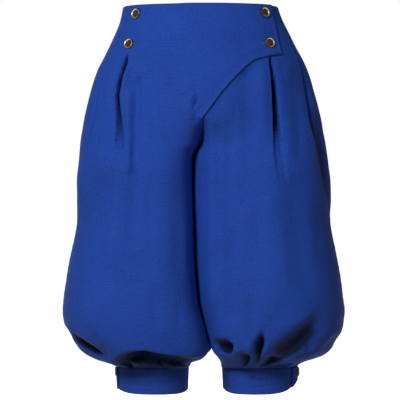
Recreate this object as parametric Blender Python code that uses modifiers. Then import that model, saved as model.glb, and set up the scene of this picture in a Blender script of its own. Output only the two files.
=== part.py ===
"""Knee-length gathered trousers with a wrap-over front flap, in the shape they have when worn.

Metres, Z up. The front faces -Y and the wearer's right is at -X. The origin is at the
middle of the waist opening, a little below the waist edge, where the wearer holds it up.
Heights are given as the drop below the waist edge.
"""

import math

import bmesh
import bpy
import numpy as np
from mathutils import Matrix, Vector

MM = 0.001
NAME = "gathered_trousers"

# Heights, in mm of drop below the waist edge
ORIGIN_DROP = 20.0
CLOTH_END = 593.7
CUFF_TOP = 594.0
CUFF_HEM = 637.0
FORK_FRONT = 186.0
FORK_BACK = 168.0
CROTCH = 275.0

# Cloth, in mm
CLOTH = 1.6
CUFF_CLOTH = 2.4
SEAM_GAP = 0.3
FLAP_GAP = 0.8
MOST_THICKENING = 1.7

# The flap: its lift starts this far before the middle front and is whole here, in mm
LIFT_FROM = 46.0
LIFT_WHOLE = 14.0
LIFT_FADE_FROM = 200.0
LIFT_FADE_TO = 234.0

# Rounding of the sections: 2 is an ellipse, more is squarer
ROUND_BODY = 2.2
ROUND_OUTER = 2.15
LEG_SIDES = {
    "right": {"sign": -1.0, "squareness": 2.9},
    "left": {"sign": 1.0, "squareness": 3.8},
}
# Degrees turned round the body and round a leg, against the share of the way from the outer
# side to the middle. The last shares hold the corner where a leg turns in towards the other.
TURN_COLUMNS = ("share", "body", "leg")
TURNS = {
    "right": (
        (0.0, 0.0, 0.0),
        (0.40, 36.0, 56.0),
        (0.70, 62.5, 98.0),
        (0.86, 78.0, 124.0),
        (0.94, 85.5, 145.0),
        (1.0, 90.0, 180.0),
    ),
    "left": (
        (0.0, 0.0, 0.0),
        (0.40, 37.0, 57.0),
        (0.70, 64.5, 101.0),
        (0.86, 80.0, 128.0),
        (0.94, 87.0, 147.0),
        (1.0, 90.0, 180.0),
    ),
}

# One row for each level of the garment, all in mm. The inner columns are where the legs meet.
BODY_COLUMNS = ("drop", "right_outer", "right_inner", "left_inner", "left_outer", "front", "back", "seam")
BODY_ROWS = (
    (0, -129, 0, 0, 127, 92, 98, 26),
    (24, -134, 0, 0, 136, 97, 106, 30),
    (44, -142, 0, 0, 146, 102, 113, 34),
    (64, -151, 0, 0, 156, 106, 119, 37),
    (84, -161, 0, 0, 167, 110, 124, 39),
    (104, -171, 0, 0, 176, 113, 128, 40),
    (137, -182, 0, 0, 186, 117, 133, 42),
    (186, -194, -1, -1, 199, 120, 136, 42),
    (219, -199, -4, -4, 205, 121, 136, 40),
    (252, -202, -10, -10, 210, 122, 134, 36),
    (286, -205, -11, -11, 214, 123, 131, 29),
    (319, -205, -10.5, -10.5, 215, 124, 128, 17),
    (352, -205, -9, -9, 214, 125, 127, 6),
    (385, -210, -8, -8, 219, 127, 128, 1),
    (418, -217, -7, -7, 225, 129, 130, 0),
    (451, -222, -4.5, -4.5, 231, 132, 133, 0),
    (484, -227, -1, -1, 235, 134, 135, 0),
    (501, -228.5, 2.5, 2.5, 237, 134, 135, 0),
    (517, -227, 7, 7, 235.5, 131.5, 132, 0),
    (534, -224, 11.5, 11.5, 232, 128, 128, 0),
    (550, -215, 15.5, 15.5, 223, 124, 123, 0),
    (560, -205, 17.5, 18.5, 217, 119, 117, 0),
    (567, -199, 15, 21.5, 212, 112, 110, 0),
    (575.5, -187, 5, 28, 200, 99, 98, 0),
    (580.5, -177, -7, 31.5, 187, 89, 88, 0),
    (585.5, -161, -16, 34, 172, 78, 77, 0),
    (590.5, -146, -19, 34.8, 162, 66, 66, 0),
    (593.7, -139.5, -19.8, 35, 158.5, 57.5, 57.5, 0),
)

# Rows of the cloth grids: where each band starts and ends in mm of drop, and its steps
BAND_COLUMNS = ("band", "start", "end", "front_steps", "back_steps")
BANDS = (
    ("waist", 0.0, 78.0, 3, 3),
    ("flap_corner", 78.0, 92.0, 5, 1),
    ("flap_curve", 92.0, 103.0, 2, 1),
    ("rise", 103.0, 188.0, 6, 4),
    ("fork", 188.0, CROTCH, 6, 6),
    ("leg", CROTCH, 500.0, 6, 6),
    ("belly", 500.0, 558.0, 4, 4),
    ("gathers", 558.0, CLOTH_END, 5, 5),
)
FRONT_STEPS_OUTSIDE = 8
FRONT_STEPS_INSIDE = 19
BACK_STEPS = 16
# The levels at which the grid columns are spaced, and how much closer they lie on the flap
BODY_MEASURE = 150.0
LEG_MEASURE = 330.0
FLAP_WEIGHT = 3.0
# How closely columns crowd round a tuck, in mm of drop where that grows and fades, and where
# the columns leave the tuck's line for even spacing
TUCK_CROWDING = 1.6
CROWD_GROWS = (40.0, 84.0)
CROWD_FADES = (230.0, 400.0)
TUCK_LEFT_BEHIND = (300.0, 470.0)
# Shares between which the side seam is looked for, ahead of the outer side and behind it
SEAM_AHEAD = 0.6
SEAM_BEHIND = -0.1

# The flap's edge, in mm: the straight side first, then the curved lower edge down to the fork
FLAP_COLUMNS = ("drop", "across")
FLAP_ROWS = (
    (0.0, 113.7),
    (78.0, 133.3),
    (80.5, 125.0),
    (83.9, 110.6),
    (88.4, 95.7),
    (92.0, 85.9),
    (101.9, 72.8),
    (115.2, 59.8),
    (130.0, 46.8),
    (144.8, 33.8),
    (160.2, 22.5),
    (173.3, 12.9),
    (186.3, 2.6),
    (188.2, 0.4),
)
# The left front's folds begin this far below the flap's edge, from and to, in mm
FOLDS_BEGIN = (1.0, 13.0)

# The two released tucks: a slit in the cloth, its path in mm, how deep it is and how wide
TUCK_COLUMNS = ("drop", "across", "depth", "width")
TUCKS = {
    "right": (
        (0.0, 112.0, 0.0, 3.5),
        (78.0, 119.0, 0.0, 3.5),
        (84.0, 120.4, 3.0, 3.2),
        (96.0, 124.5, 8.5, 3.6),
        (124.0, 133.4, 10.5, 4.0),
        (148.0, 137.2, 11.0, 4.4),
        (184.0, 132.1, 8.0, 5.0),
        (206.0, 132.1, 4.0, 6.0),
        (232.0, 133.7, 0.0, 8.0),
    ),
    "left": (
        (0.0, 106.0, 0.0, 3.5),
        (78.0, 111.0, 0.0, 3.5),
        (84.0, 112.3, 3.0, 3.2),
        (101.0, 115.2, 8.5, 3.6),
        (124.0, 118.0, 11.0, 4.2),
        (148.0, 119.7, 12.0, 5.0),
        (176.0, 123.7, 9.5, 5.6),
        (203.0, 123.7, 6.5, 6.2),
        (231.0, 125.3, 4.0, 7.0),
        (268.0, 126.9, 2.0, 8.0),
        (306.0, 136.7, 0.0, 9.0),
    ),
}

# The cloth swells a little on each side of a tuck: share of its depth, and how far off in widths
TUCK_SWELL = 0.28
TUCK_SWELL_AT = 2.6

# Soft troughs (below zero) and ridges in the cloth: ends as across and drop, in mm
FOLD_COLUMNS = ("leg", "face", "across_0", "drop_0", "across_1", "drop_1", "width", "height")
FOLDS = (
    ("right", "front", 107.0, 100.0, 101.0, 215.0, 9.0, -4.0),
    ("right", "front", 101.0, 215.0, 112.0, 385.0, 13.0, -3.5),
    ("right", "front", 124.0, 110.0, 118.0, 200.0, 7.0, 3.0),
    ("right", "front", 12.0, 150.0, 12.0, 166.0, 6.0, -2.0),
    ("right", "front", 160.0, 300.0, 176.0, 470.0, 22.0, -4.0),
    ("right", "front", 60.0, 260.0, 62.0, 440.0, 26.0, 3.0),
    ("left", "front", 76.0, 108.0, 78.0, 215.0, 9.0, -4.5),
    ("left", "front", 78.0, 215.0, 70.0, 300.0, 12.0, -2.5),
    ("left", "front", 98.0, 108.0, 102.0, 220.0, 8.0, 3.0),
    ("left", "front", 138.0, 110.0, 142.0, 240.0, 7.0, 3.0),
    ("left", "front", 46.0, 170.0, 48.0, 500.0, 15.0, -5.0),
    ("left", "front", 15.0, 200.0, 20.0, 480.0, 9.0, 3.0),
    ("left", "front", 150.0, 300.0, 168.0, 450.0, 20.0, -4.0),
    ("left", "front", 108.0, 330.0, 112.0, 490.0, 24.0, 3.0),
    ("right", "back", 50.0, 60.0, 62.0, 190.0, 16.0, -4.0),
    ("right", "back", 100.0, 90.0, 118.0, 300.0, 18.0, -5.0),
    ("right", "back", 60.0, 230.0, 72.0, 430.0, 20.0, -4.0),
    ("right", "back", 26.0, 215.0, 110.0, 268.0, 14.0, -3.5),
    ("left", "back", 46.0, 70.0, 58.0, 200.0, 16.0, -4.0),
    ("left", "back", 104.0, 80.0, 122.0, 280.0, 18.0, -5.0),
    ("left", "back", 66.0, 240.0, 80.0, 450.0, 20.0, -4.0),
    ("left", "back", 28.0, 222.0, 118.0, 280.0, 14.0, -3.5),
)

# Where folds and tucks fade out: shares of the way from the side seam, and mm from the middle
FOLD_FADE = (0.03, 0.16)
TUCK_FADE = (0.03, 0.12)
MIDDLE_FADE = 14.0

# Gathers above each cuff: degrees from the outer side through the front, where each starts
# and how far it swings by the cuff, its width in degrees and its depth in mm
GATHER_COLUMNS = ("leg", "angle", "swing", "start", "width", "depth")
GATHERS = (
    ("right", 90.0, -4.0, 545.0, 30.0, 17.0),
    ("right", 14.0, 20.0, 519.0, 8.1, 12.7),
    ("right", 55.0, 3.0, 527.0, 8.1, 10.7),
    ("right", 77.0, 0.0, 543.0, 5.9, 7.8),
    ("right", 95.0, -1.0, 535.0, 6.3, 9.8),
    ("right", 115.0, -2.0, 541.0, 6.3, 7.8),
    ("right", 135.0, 1.0, 531.0, 7.2, 10.7),
    ("right", 156.0, 0.0, 543.0, 6.8, 7.8),
    ("right", -16.0, -3.0, 536.0, 7.2, 8.8),
    ("right", -40.0, 2.0, 521.0, 8.1, 11.7),
    ("right", -63.0, 0.0, 539.0, 7.2, 8.8),
    ("right", -86.0, 2.0, 525.0, 8.1, 11.7),
    ("right", -109.0, 0.0, 541.0, 7.2, 7.8),
    ("right", -131.0, -2.0, 529.0, 8.1, 10.7),
    ("right", -154.0, 0.0, 539.0, 7.2, 7.8),
    ("left", 20.0, 2.0, 539.0, 6.3, 7.8),
    ("left", 44.0, 20.0, 503.0, 9.9, 15.6),
    ("left", 82.0, -3.0, 543.0, 5.9, 7.8),
    ("left", 103.0, -1.0, 521.0, 5.9, 11.7),
    ("left", 119.0, -3.0, 545.0, 5.9, 7.8),
    ("left", 143.0, 0.0, 525.0, 7.7, 14.6),
    ("left", 161.0, 0.0, 543.0, 6.3, 6.8),
    ("left", -12.0, 2.0, 537.0, 7.2, 8.8),
    ("left", -35.0, -2.0, 519.0, 8.1, 11.7),
    ("left", -58.0, 2.0, 539.0, 7.2, 8.8),
    ("left", -81.0, 0.0, 527.0, 8.1, 10.7),
    ("left", -104.0, -2.0, 541.0, 7.2, 8.8),
    ("left", -127.0, 2.0, 523.0, 8.1, 11.7),
    ("left", -151.0, 0.0, 537.0, 7.2, 7.8),
)
GATHER_DEEPEST = 569.0
GATHER_AT_CUFF = 0.07

# Cuffs, in mm: middle across, half width, half depth, hem raised at the lap
CUFF_COLUMNS = ("leg", "middle", "half_width", "half_depth", "hem_raise")
CUFFS = (
    ("right", -79.65, 60.2, 57.9, 2.5),
    ("left", 96.75, 62.1, 57.9, 12.0),
)
CUFF_STEPS = 44
CUFF_ROWS = 3
CUFF_ROUND = 2.1
CUFF_TAPER = 1.2
CUFF_LAP_DEGREES = 26.0
CUFF_LAP_FROM = -8.0
# The lap lifts clear of the start over this many degrees, and is whole this many before it
CUFF_EASE_DEGREES = 70.0
CUFF_WHOLE_DEGREES = 2.0
HEM_RAISE_SPREAD = 34.0

# Buttons: place as across and drop in mm, and diameter in mm
BUTTON_COLUMNS = ("name", "on", "across", "drop", "diameter")
BUTTONS = (
    ("button_waist_right_top", "right", 106.0, 15.7, 19.0),
    ("button_waist_right_low", "right", 117.6, 65.3, 19.0),
    ("button_flap_top", "flap", 102.8, 14.5, 19.0),
    ("button_flap_low", "flap", 110.3, 65.3, 19.0),
)
CUFF_BUTTON_COLUMNS = ("name", "leg", "angle", "below_top", "diameter")
CUFF_BUTTONS = (
    ("button_cuff_right", "right", 4.0, 9.0, 14.5),
    ("button_cuff_left", "left", 9.0, 9.0, 14.5),
)
BUTTON_GAP = 0.3
# The button's section as shares of its radius: how far out, and how high from its back
BUTTON_PROFILE = (
    (0.0, 0.20),
    (0.50, 0.20),
    (0.58, 0.34),
    (0.74, 0.42),
    (0.90, 0.36),
    (1.0, 0.20),
    (0.94, 0.06),
    (0.80, 0.0),
    (0.0, 0.0),
)
BUTTON_STEPS = 16
BUTTON_MERGE = 0.00001

# Edges turned by more than this many degrees are shaded sharp
SHARP_OVER = 50.0

# Colours and finish
BLUE = (0.026, 0.086, 0.43, 1.0)
BLUE_ROUGHNESS = 0.85
BRASS = (0.36, 0.23, 0.075, 1.0)
BRASS_ROUGHNESS = 0.42

# Steps for measuring along a section, and for finding which way the form faces
FINE = 481
STEP_ALONG = 0.0015
STEP_DOWN = 0.8
LEAST_RUN = 0.2


def column(rows, columns, name):
    """One named column of a table, as an array."""
    at = columns.index(name)
    return np.array([row[at] for row in rows], dtype=float)


def named(rows, columns):
    """The rows of a table, each with its values by name."""
    return [dict(zip(columns, row)) for row in rows]


def smooth_between(rows, columns, name):
    """A smooth curve through one column against the first, which never swings past its points."""
    x = column(rows, columns, columns[0])
    y = column(rows, columns, name)
    step = np.diff(x)
    slope = np.diff(y) / step
    tangent = np.zeros_like(y)
    tangent[0] = slope[0]
    tangent[-1] = slope[-1]
    for i in range(1, len(x) - 1):
        if slope[i - 1] * slope[i] > 0.0:
            near = 2.0 * step[i] + step[i - 1]
            far = step[i] + 2.0 * step[i - 1]
            tangent[i] = (near + far) / (near / slope[i - 1] + far / slope[i])

    def value(at):
        at = np.clip(np.asarray(at, dtype=float), x[0], x[-1])
        i = np.clip(np.searchsorted(x, at, side="right") - 1, 0, len(x) - 2)
        t = (at - x[i]) / step[i]
        rise = (1.0 + 2.0 * t) * (1.0 - t) ** 2 * y[i] + t * t * (3.0 - 2.0 * t) * y[i + 1]
        lean = t * (1.0 - t) ** 2 * step[i] * tangent[i] + t * t * (t - 1.0) * step[i] * tangent[i + 1]
        return rise + lean

    return value


def ease(start, end, at):
    """Zero before start, one after end, and a soft rise between."""
    t = np.clip((np.asarray(at, dtype=float) - start) / (end - start), 0.0, 1.0)
    return t * t * (3.0 - 2.0 * t)


BODY = {name: smooth_between(BODY_ROWS, BODY_COLUMNS, name) for name in BODY_COLUMNS[1:]}
TURN_CURVES = {
    side: {name: smooth_between(rows, TURN_COLUMNS, name) for name in TURN_COLUMNS[1:]}
    for side, rows in TURNS.items()
}
TUCK_CURVES = {
    side: {name: smooth_between(rows, TUCK_COLUMNS, name) for name in TUCK_COLUMNS[1:]}
    for side, rows in TUCKS.items()
}


FLAP_LOWER_ACROSS = column(FLAP_ROWS[:0:-1], FLAP_COLUMNS, "across")
FLAP_LOWER_DROP = column(FLAP_ROWS[:0:-1], FLAP_COLUMNS, "drop")


def rounded(degrees, squareness):
    """A point on a circle pushed out towards a square, as cosine and sine."""
    turn = np.radians(degrees)
    c = np.cos(turn)
    s = np.sin(turn)
    out = (np.abs(c) ** squareness + np.abs(s) ** squareness) ** (-1.0 / squareness)
    return c * out, s * out


def base(side, v, drop):
    """Points of the smooth form in mm: v is 0 at the outer side, 1 at the middle front, -1 behind."""
    v = np.asarray(v, dtype=float)
    drop = np.asarray(drop, dtype=float)
    leg = LEG_SIDES[side]
    share = np.abs(v)
    ahead = v >= 0.0
    inner = BODY[side + "_inner"](drop) + leg["sign"] * SEAM_GAP / 2.0
    outer = BODY[side + "_outer"](drop)
    depth = np.where(ahead, BODY["front"](drop), BODY["back"](drop))
    parted = np.where(ahead, ease(FORK_FRONT, CROTCH, drop), ease(FORK_BACK, CROTCH, drop))

    c, s = rounded(TURN_CURVES[side]["body"](share), ROUND_BODY)
    body_x = inner + (outer - inner) * c
    body_y = depth * s
    degrees = TURN_CURVES[side]["leg"](share)
    squareness = np.where(degrees < 90.0, ROUND_OUTER, leg["squareness"])
    c, s = rounded(degrees, squareness)
    leg_x = (outer + inner) / 2.0 + (outer - inner) / 2.0 * c
    leg_y = depth * s

    x = body_x + parted * (leg_x - body_x)
    y = (body_y + parted * (leg_y - body_y)) * np.where(ahead, -1.0, 1.0)
    return np.stack([x, y, -drop + 0.0 * x], axis=-1)


def outward(side, v, drop):
    """The direction square to the smooth form, pointing out of the garment."""
    v = np.asarray(v, dtype=float)
    drop = np.asarray(drop, dtype=float) + 0.0 * v
    before = base(side, np.maximum(v - STEP_ALONG, -1.0), drop)
    along = base(side, np.minimum(v + STEP_ALONG, 1.0), drop) - before
    low = np.minimum(drop + STEP_DOWN, CLOTH_END)
    high = np.maximum(drop - STEP_DOWN, 0.0)
    down = base(side, v, low) - base(side, v, high)
    way = np.cross(along, down) * LEG_SIDES[side]["sign"]
    return way / np.linalg.norm(way, axis=-1, keepdims=True)


def beside_line(across, drop, fold):
    """Distance of points from the line between a fold's two ends."""
    dx = fold["across_1"] - fold["across_0"]
    dz = fold["drop_1"] - fold["drop_0"]
    x = across - fold["across_0"]
    z = drop - fold["drop_0"]
    t = np.clip((x * dx + z * dz) / (dx * dx + dz * dz), 0.0, 1.0)
    return np.hypot(x - t * dx, z - t * dz)


def relief(side, v, drop):
    """How far folds, tucks and gathers stand out of the smooth form, in mm."""
    v = np.asarray(v, dtype=float)
    drop = np.asarray(drop, dtype=float) + 0.0 * v
    sign = LEG_SIDES[side]["sign"]
    point = base(side, v, drop)
    across = point[..., 0] * sign
    inner = BODY[side + "_inner"](drop) * sign
    height = np.zeros_like(v)

    for fold in named(FOLDS, FOLD_COLUMNS):
        if fold["leg"] == side:
            facing = np.where((v > 0.0) == (fold["face"] == "front"), 1.0, 0.0) * ease(*FOLD_FADE, np.abs(v))
            near = beside_line(across, drop, fold) / fold["width"]
            height = height + facing * fold["height"] * np.exp(-near * near)

    curves = TUCK_CURVES[side]
    near = (across - curves["across"](drop)) / curves["width"](drop)
    deep = np.where(v > 0.0, 1.0, 0.0) * ease(*TUCK_FADE, v) * curves["depth"](drop)
    height = height - deep * np.exp(-near * near)
    height = height + deep * TUCK_SWELL * np.exp(-((np.abs(near) - TUCK_SWELL_AT) ** 2))

    # The left front lies flat under the flap, and its folds begin below the flap's edge.
    if side == "left":
        edge = np.interp(across, FLAP_LOWER_ACROSS, FLAP_LOWER_DROP, right=0.0)
        below = ease(edge + FOLDS_BEGIN[0], edge + FOLDS_BEGIN[1], drop)
        height = height * np.where(v > 0.0, below, 1.0)

    # The cloth lies flat at the middle seam, and the legs don't reach past the line where they meet.
    return height * ease(0.0, MIDDLE_FADE, across - inner)


def gathered(side, v, drop):
    """How far the gathers above a cuff draw the cloth in towards the middle of the leg, in mm."""
    v = np.asarray(v, dtype=float)
    drop = np.asarray(drop, dtype=float) + 0.0 * v
    degrees = TURN_CURVES[side]["leg"](np.abs(v)) * np.where(v >= 0.0, 1.0, -1.0)
    drawn = np.zeros_like(v)
    shrunk = 1.0 - (1.0 - GATHER_AT_CUFF) * ease(GATHER_DEEPEST, CLOTH_END, drop)
    for gather in named(GATHERS, GATHER_COLUMNS):
        if gather["leg"] == side:
            grown = ease(gather["start"], GATHER_DEEPEST, drop)
            middle = gather["angle"] + gather["swing"] * ease(gather["start"], CLOTH_END, drop)
            near = (degrees - middle) / gather["width"]
            drawn = drawn + gather["depth"] * grown * shrunk * np.exp(-near * near)
    across = base(side, v, drop)[..., 0] - BODY[side + "_inner"](drop)
    return drawn * ease(0.0, MIDDLE_FADE, across * LEG_SIDES[side]["sign"])


def towards_middle(side, v, drop):
    """The level direction from the cloth to the middle of its leg."""
    point = base(side, v, drop)
    point[..., 0] -= (BODY[side + "_outer"](drop) + BODY[side + "_inner"](drop)) / 2.0
    point[..., 2] = 0.0
    return -point / np.linalg.norm(point, axis=-1, keepdims=True)


def lifted(side, v, drop, thick):
    """How far the right front is raised to lie over the left front, in mm."""
    across = base(side, v, drop)[..., 0]
    if side == "left":
        return (FLAP_GAP + thick) * np.ones_like(across)
    whole = ease(-LIFT_FROM, -LIFT_WHOLE, across) * (1.0 - ease(LIFT_FADE_FROM, LIFT_FADE_TO, drop))
    return (FLAP_GAP + thick) * whole


def levels(steps_column):
    """Drops of the grid rows, in mm."""
    drops = [0.0]
    for band in named(BANDS, BAND_COLUMNS):
        step = (band["end"] - band["start"]) / band[steps_column]
        drops.extend(band["start"] + step * (i + 1) for i in range(band[steps_column]))
    return drops


def share_where(side, drop, across):
    """The share of the way to the middle front at which the form is this far across, at one level."""
    v = np.linspace(1.0, 0.0, FINE)
    reach = base(side, v, drop)[:, 0] * LEG_SIDES[side]["sign"]
    return float(np.interp(across, reach, v))


def lengths(side, v, drop):
    """Length along the section at each share, from the first."""
    points = base(side, v, drop)
    return np.concatenate([[0.0], np.cumsum(np.linalg.norm(np.diff(points, axis=0), axis=1))])


def spread(side, v):
    """Where the grid columns are spaced: along the body's section and a leg's section together."""
    return lengths(side, v, BODY_MEASURE) + lengths(side, v, LEG_MEASURE)


def front_places(side, drop):
    """Where the columns of a front lie at one level. Values over 1 are past the middle, on the flap."""
    v = np.linspace(0.0, 1.0, FINE)
    run = lengths(side, v, drop)
    parted = float(ease(FORK_FRONT, CROTCH, drop))
    first = float(np.interp(float(BODY["seam"](drop)) + SEAM_GAP / 2.0, run, v))
    last = float(np.interp(run[-1] - parted * SEAM_GAP / 2.0, run, v))
    even = spread(side, v)
    if side == "right" and drop < FLAP_ROWS[-1][0]:
        down = column(FLAP_ROWS, FLAP_COLUMNS, "drop")
        edge = np.interp(drop, down, column(FLAP_ROWS, FLAP_COLUMNS, "across"))
        far = np.linspace(1.0, share_where("left", drop, edge), FINE)
        even = np.concatenate([even, even[-1] + FLAP_WEIGHT * lengths("left", far, drop)[1:]])
        v = np.concatenate([v, 2.0 - far[1:]])
        last = v[-1]
    tuck_share = share_where(side, drop, TUCK_CURVES[side]["across"](drop))
    first, last, tuck = np.interp((first, last, tuck_share), v, even)
    middle = first + (last - first) * FRONT_STEPS_OUTSIDE / (FRONT_STEPS_OUTSIDE + FRONT_STEPS_INSIDE)
    tuck = tuck + float(ease(*TUCK_LEFT_BEHIND, drop)) * (middle - tuck)
    near_tuck = float(ease(*CROWD_GROWS, drop)) * (1.0 - float(ease(*CROWD_FADES, drop)))
    crowd = 1.0 + (TUCK_CROWDING - 1.0) * near_tuck
    outside = 1.0 - (np.arange(FRONT_STEPS_OUTSIDE + 1) / FRONT_STEPS_OUTSIDE)
    inside = (np.arange(FRONT_STEPS_INSIDE) + 1.0) / FRONT_STEPS_INSIDE
    along = np.concatenate([tuck - (tuck - first) * outside**crowd, tuck + (last - tuck) * inside**crowd])
    return np.interp(along, even, v)


def back_places(side, drop):
    """Where the columns of a back lie at one level, from the side seam round to the middle back."""
    forward = np.linspace(0.0, SEAM_AHEAD, FINE)
    behind = np.linspace(0.0, SEAM_BEHIND, FINE)
    seam = float(BODY["seam"](drop)) - SEAM_GAP / 2.0
    start = np.interp(seam, lengths(side, forward, drop), forward)
    if seam < 0.0:
        start = np.interp(-seam, lengths(side, behind, drop), behind)
    v = np.linspace(float(start), -1.0, FINE)
    run = lengths(side, v, drop)
    even = spread(side, v)
    parted = float(ease(FORK_BACK, CROTCH, drop))
    last = np.interp(run[-1] - parted * SEAM_GAP / 2.0, run, even)
    return np.interp(np.linspace(0.0, last, BACK_STEPS + 1), even, v)


def thickened(points, height):
    """Wall thickness along the outward direction, more on steep folds, so that the cloth stays as thick."""
    steep = np.zeros_like(height)
    for axis in (0, 1):
        run = np.linalg.norm(np.diff(points, axis=axis), axis=2)
        slope = np.abs(np.diff(height, axis=axis)) / np.maximum(run, LEAST_RUN)
        pad = [(0, 0), (0, 0)]
        pad[axis] = (0, 1)
        steep = np.maximum(steep, np.pad(slope, pad))
        pad[axis] = (1, 0)
        steep = np.maximum(steep, np.pad(slope, pad))
    return CLOTH * np.minimum(np.sqrt(1.0 + steep * steep), MOST_THICKENING)


def wall_between(name, outer, inner, closed=False):
    """One closed body between two grids of points in mm, with a rim all round."""
    rows, cols = outer.shape[:2]
    mesh = bpy.data.meshes.new(name)
    shape = bmesh.new()
    shift = Vector((0.0, 0.0, ORIGIN_DROP * MM))
    front = [[shape.verts.new(Vector(p) * MM + shift) for p in row] for row in outer]
    behind = [[shape.verts.new(Vector(p) * MM + shift) for p in row] for row in inner]
    last = cols if closed else cols - 1
    for i in range(rows - 1):
        for j in range(last):
            k = (j + 1) % cols
            shape.faces.new((front[i][j], front[i + 1][j], front[i + 1][k], front[i][k]))
            shape.faces.new((behind[i][j], behind[i][k], behind[i + 1][k], behind[i + 1][j]))
    for j in range(last):
        k = (j + 1) % cols
        shape.faces.new((front[0][j], front[0][k], behind[0][k], behind[0][j]))
        shape.faces.new((front[-1][j], behind[-1][j], behind[-1][k], front[-1][k]))
    if not closed:
        for i in range(rows - 1):
            shape.faces.new((front[i][0], behind[i][0], behind[i + 1][0], front[i + 1][0]))
            shape.faces.new((front[i][-1], front[i + 1][-1], behind[i + 1][-1], behind[i][-1]))
    bmesh.ops.recalc_face_normals(shape, faces=shape.faces)
    for face in shape.faces:
        face.smooth = True
    shape.to_mesh(mesh)
    shape.free()
    mesh.set_sharp_from_angle(angle=math.radians(SHARP_OVER))
    return bpy.data.objects.new(name, mesh)


def evaluated(side, places, drop, use):
    """A function of side, share and drop, read along a row that may run past the middle front."""
    places = np.asarray(places)
    own = places <= 1.0
    found = None
    for mask, leg, v in ((own, side, places), (~own, "left", 2.0 - places)):
        if mask.any():
            values = use(leg, v[mask], drop)
            if found is None:
                found = np.zeros(places.shape + values.shape[1:])
            found[mask] = values
    return found


def panel(name, side, places_at, steps_column, flap=False):
    """A cloth panel from its rows of places, given its folds and its thickness."""
    drops = levels(steps_column)
    rows = [places_at(side, drop) for drop in drops]
    points = np.array([evaluated(side, row, drop, base) for row, drop in zip(rows, drops)])
    ways = np.array([evaluated(side, row, drop, outward) for row, drop in zip(rows, drops)])
    height = np.array([evaluated(side, row, drop, relief) for row, drop in zip(rows, drops)])
    drawn = np.array([evaluated(side, row, drop, gathered) for row, drop in zip(rows, drops)])
    inwards = np.array([evaluated(side, row, drop, towards_middle) for row, drop in zip(rows, drops)])
    thick = thickened(points, height - drawn)
    points += inwards * drawn[..., None]
    if flap:
        for i, (row, drop) in enumerate(zip(rows, drops)):
            raised = np.zeros(len(row))
            for mask, leg, v in ((row <= 1.0, side, row), (row > 1.0, "left", 2.0 - row)):
                if mask.any():
                    raised[mask] = lifted(leg, v[mask], drop, thick[i][mask])
            if drop > FORK_FRONT:
                points[i, :, 1] -= raised
            else:
                height[i] += raised
    outer = points + ways * height[..., None]
    inner = points + ways * (height - thick)[..., None]
    return wall_between(name, outer, inner)


def cuff_ring(band, degrees, out):
    """Points on a cuff's ring in mm, from the outer side through the front, moved out."""
    c, s = rounded(degrees, CUFF_ROUND)
    x = band["middle"] + LEG_SIDES[band["leg"]]["sign"] * (band["half_width"] + out) * c
    return x, -(band["half_depth"] + out) * s


def cuff(band):
    """A double cloth band wound once round the knee, its end lapping over its start."""
    start = CUFF_LAP_FROM
    degrees = np.linspace(start, start + 360.0 + CUFF_LAP_DEGREES, CUFF_STEPS + 1)
    lift = (CUFF_CLOTH + SEAM_GAP) * ease(
        start + 360.0 - CUFF_EASE_DEGREES, start + 360.0 - CUFF_WHOLE_DEGREES, degrees
    )
    turned = (degrees + 180.0) % 360.0 - 180.0
    raise_here = band["hem_raise"] * np.exp(-((turned / HEM_RAISE_SPREAD) ** 2))
    grids = []
    for out in (0.0, -CUFF_CLOTH):
        rows = []
        for i in range(CUFF_ROWS + 1):
            share = i / CUFF_ROWS
            drop = CUFF_TOP + (CUFF_HEM - raise_here - CUFF_TOP) * share
            x, y = cuff_ring(band, degrees, out + lift - CUFF_TAPER * share)
            rows.append(np.stack([x, y, -drop], axis=-1))
        grids.append(np.array(rows))
    return wall_between("cuff_" + band["leg"], grids[0], grids[1])


def button(name, diameter, place, way):
    """A turned button with a raised rim and a sunk middle, its back towards the cloth."""
    radius = diameter / 2.0 * MM
    mesh = bpy.data.meshes.new(name)
    shape = bmesh.new()
    line = [shape.verts.new((out * radius, 0.0, up * radius)) for out, up in BUTTON_PROFILE]
    for a, b in zip(line, line[1:]):
        shape.edges.new((a, b))
    shape.to_mesh(mesh)
    shape.free()
    thing = bpy.data.objects.new(name, mesh)
    turn = thing.modifiers.new("turned", "SCREW")
    turn.axis = "Z"
    turn.steps = BUTTON_STEPS
    turn.render_steps = BUTTON_STEPS
    turn.use_merge_vertices = True
    turn.merge_threshold = BUTTON_MERGE
    turn.use_smooth_shade = True
    turn.use_normal_calculate = True
    spin = Vector((0.0, 0.0, 1.0)).rotation_difference(Vector(way)).to_matrix().to_4x4()
    thing.matrix_world = Matrix.Translation(Vector(place)) @ spin
    return thing


def button_seat(leg, across, drop, out):
    """The place and direction on the cloth's outer face, in metres."""
    side = "left" if leg == "flap" else leg
    v = np.array([share_where(side, drop, across)])
    way = outward(side, v, drop)[0]
    height = relief(side, v, drop)[0] + out
    if leg == "flap":
        height += FLAP_GAP + CLOTH
    point = base(side, v, drop)[0] + way * height
    return Vector(point) * MM + Vector((0.0, 0.0, ORIGIN_DROP * MM)), way


def cuff_seat(band, degrees, drop, out):
    """The place and direction on the outer face of a cuff's lap, in metres."""
    lift = CUFF_CLOTH + SEAM_GAP - CUFF_TAPER * (drop - CUFF_TOP) / (CUFF_HEM - CUFF_TOP)
    at = [Vector((*(float(n) for n in cuff_ring(band, degrees + d, lift)), -drop)) for d in (-1.0, 0.0, 1.0)]
    along = (at[2] - at[0]).normalized()
    way = along.cross(Vector((0.0, 0.0, -1.0))) * LEG_SIDES[band["leg"]]["sign"]
    return (at[1] + way * out) * MM + Vector((0.0, 0.0, ORIGIN_DROP * MM)), way


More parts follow.
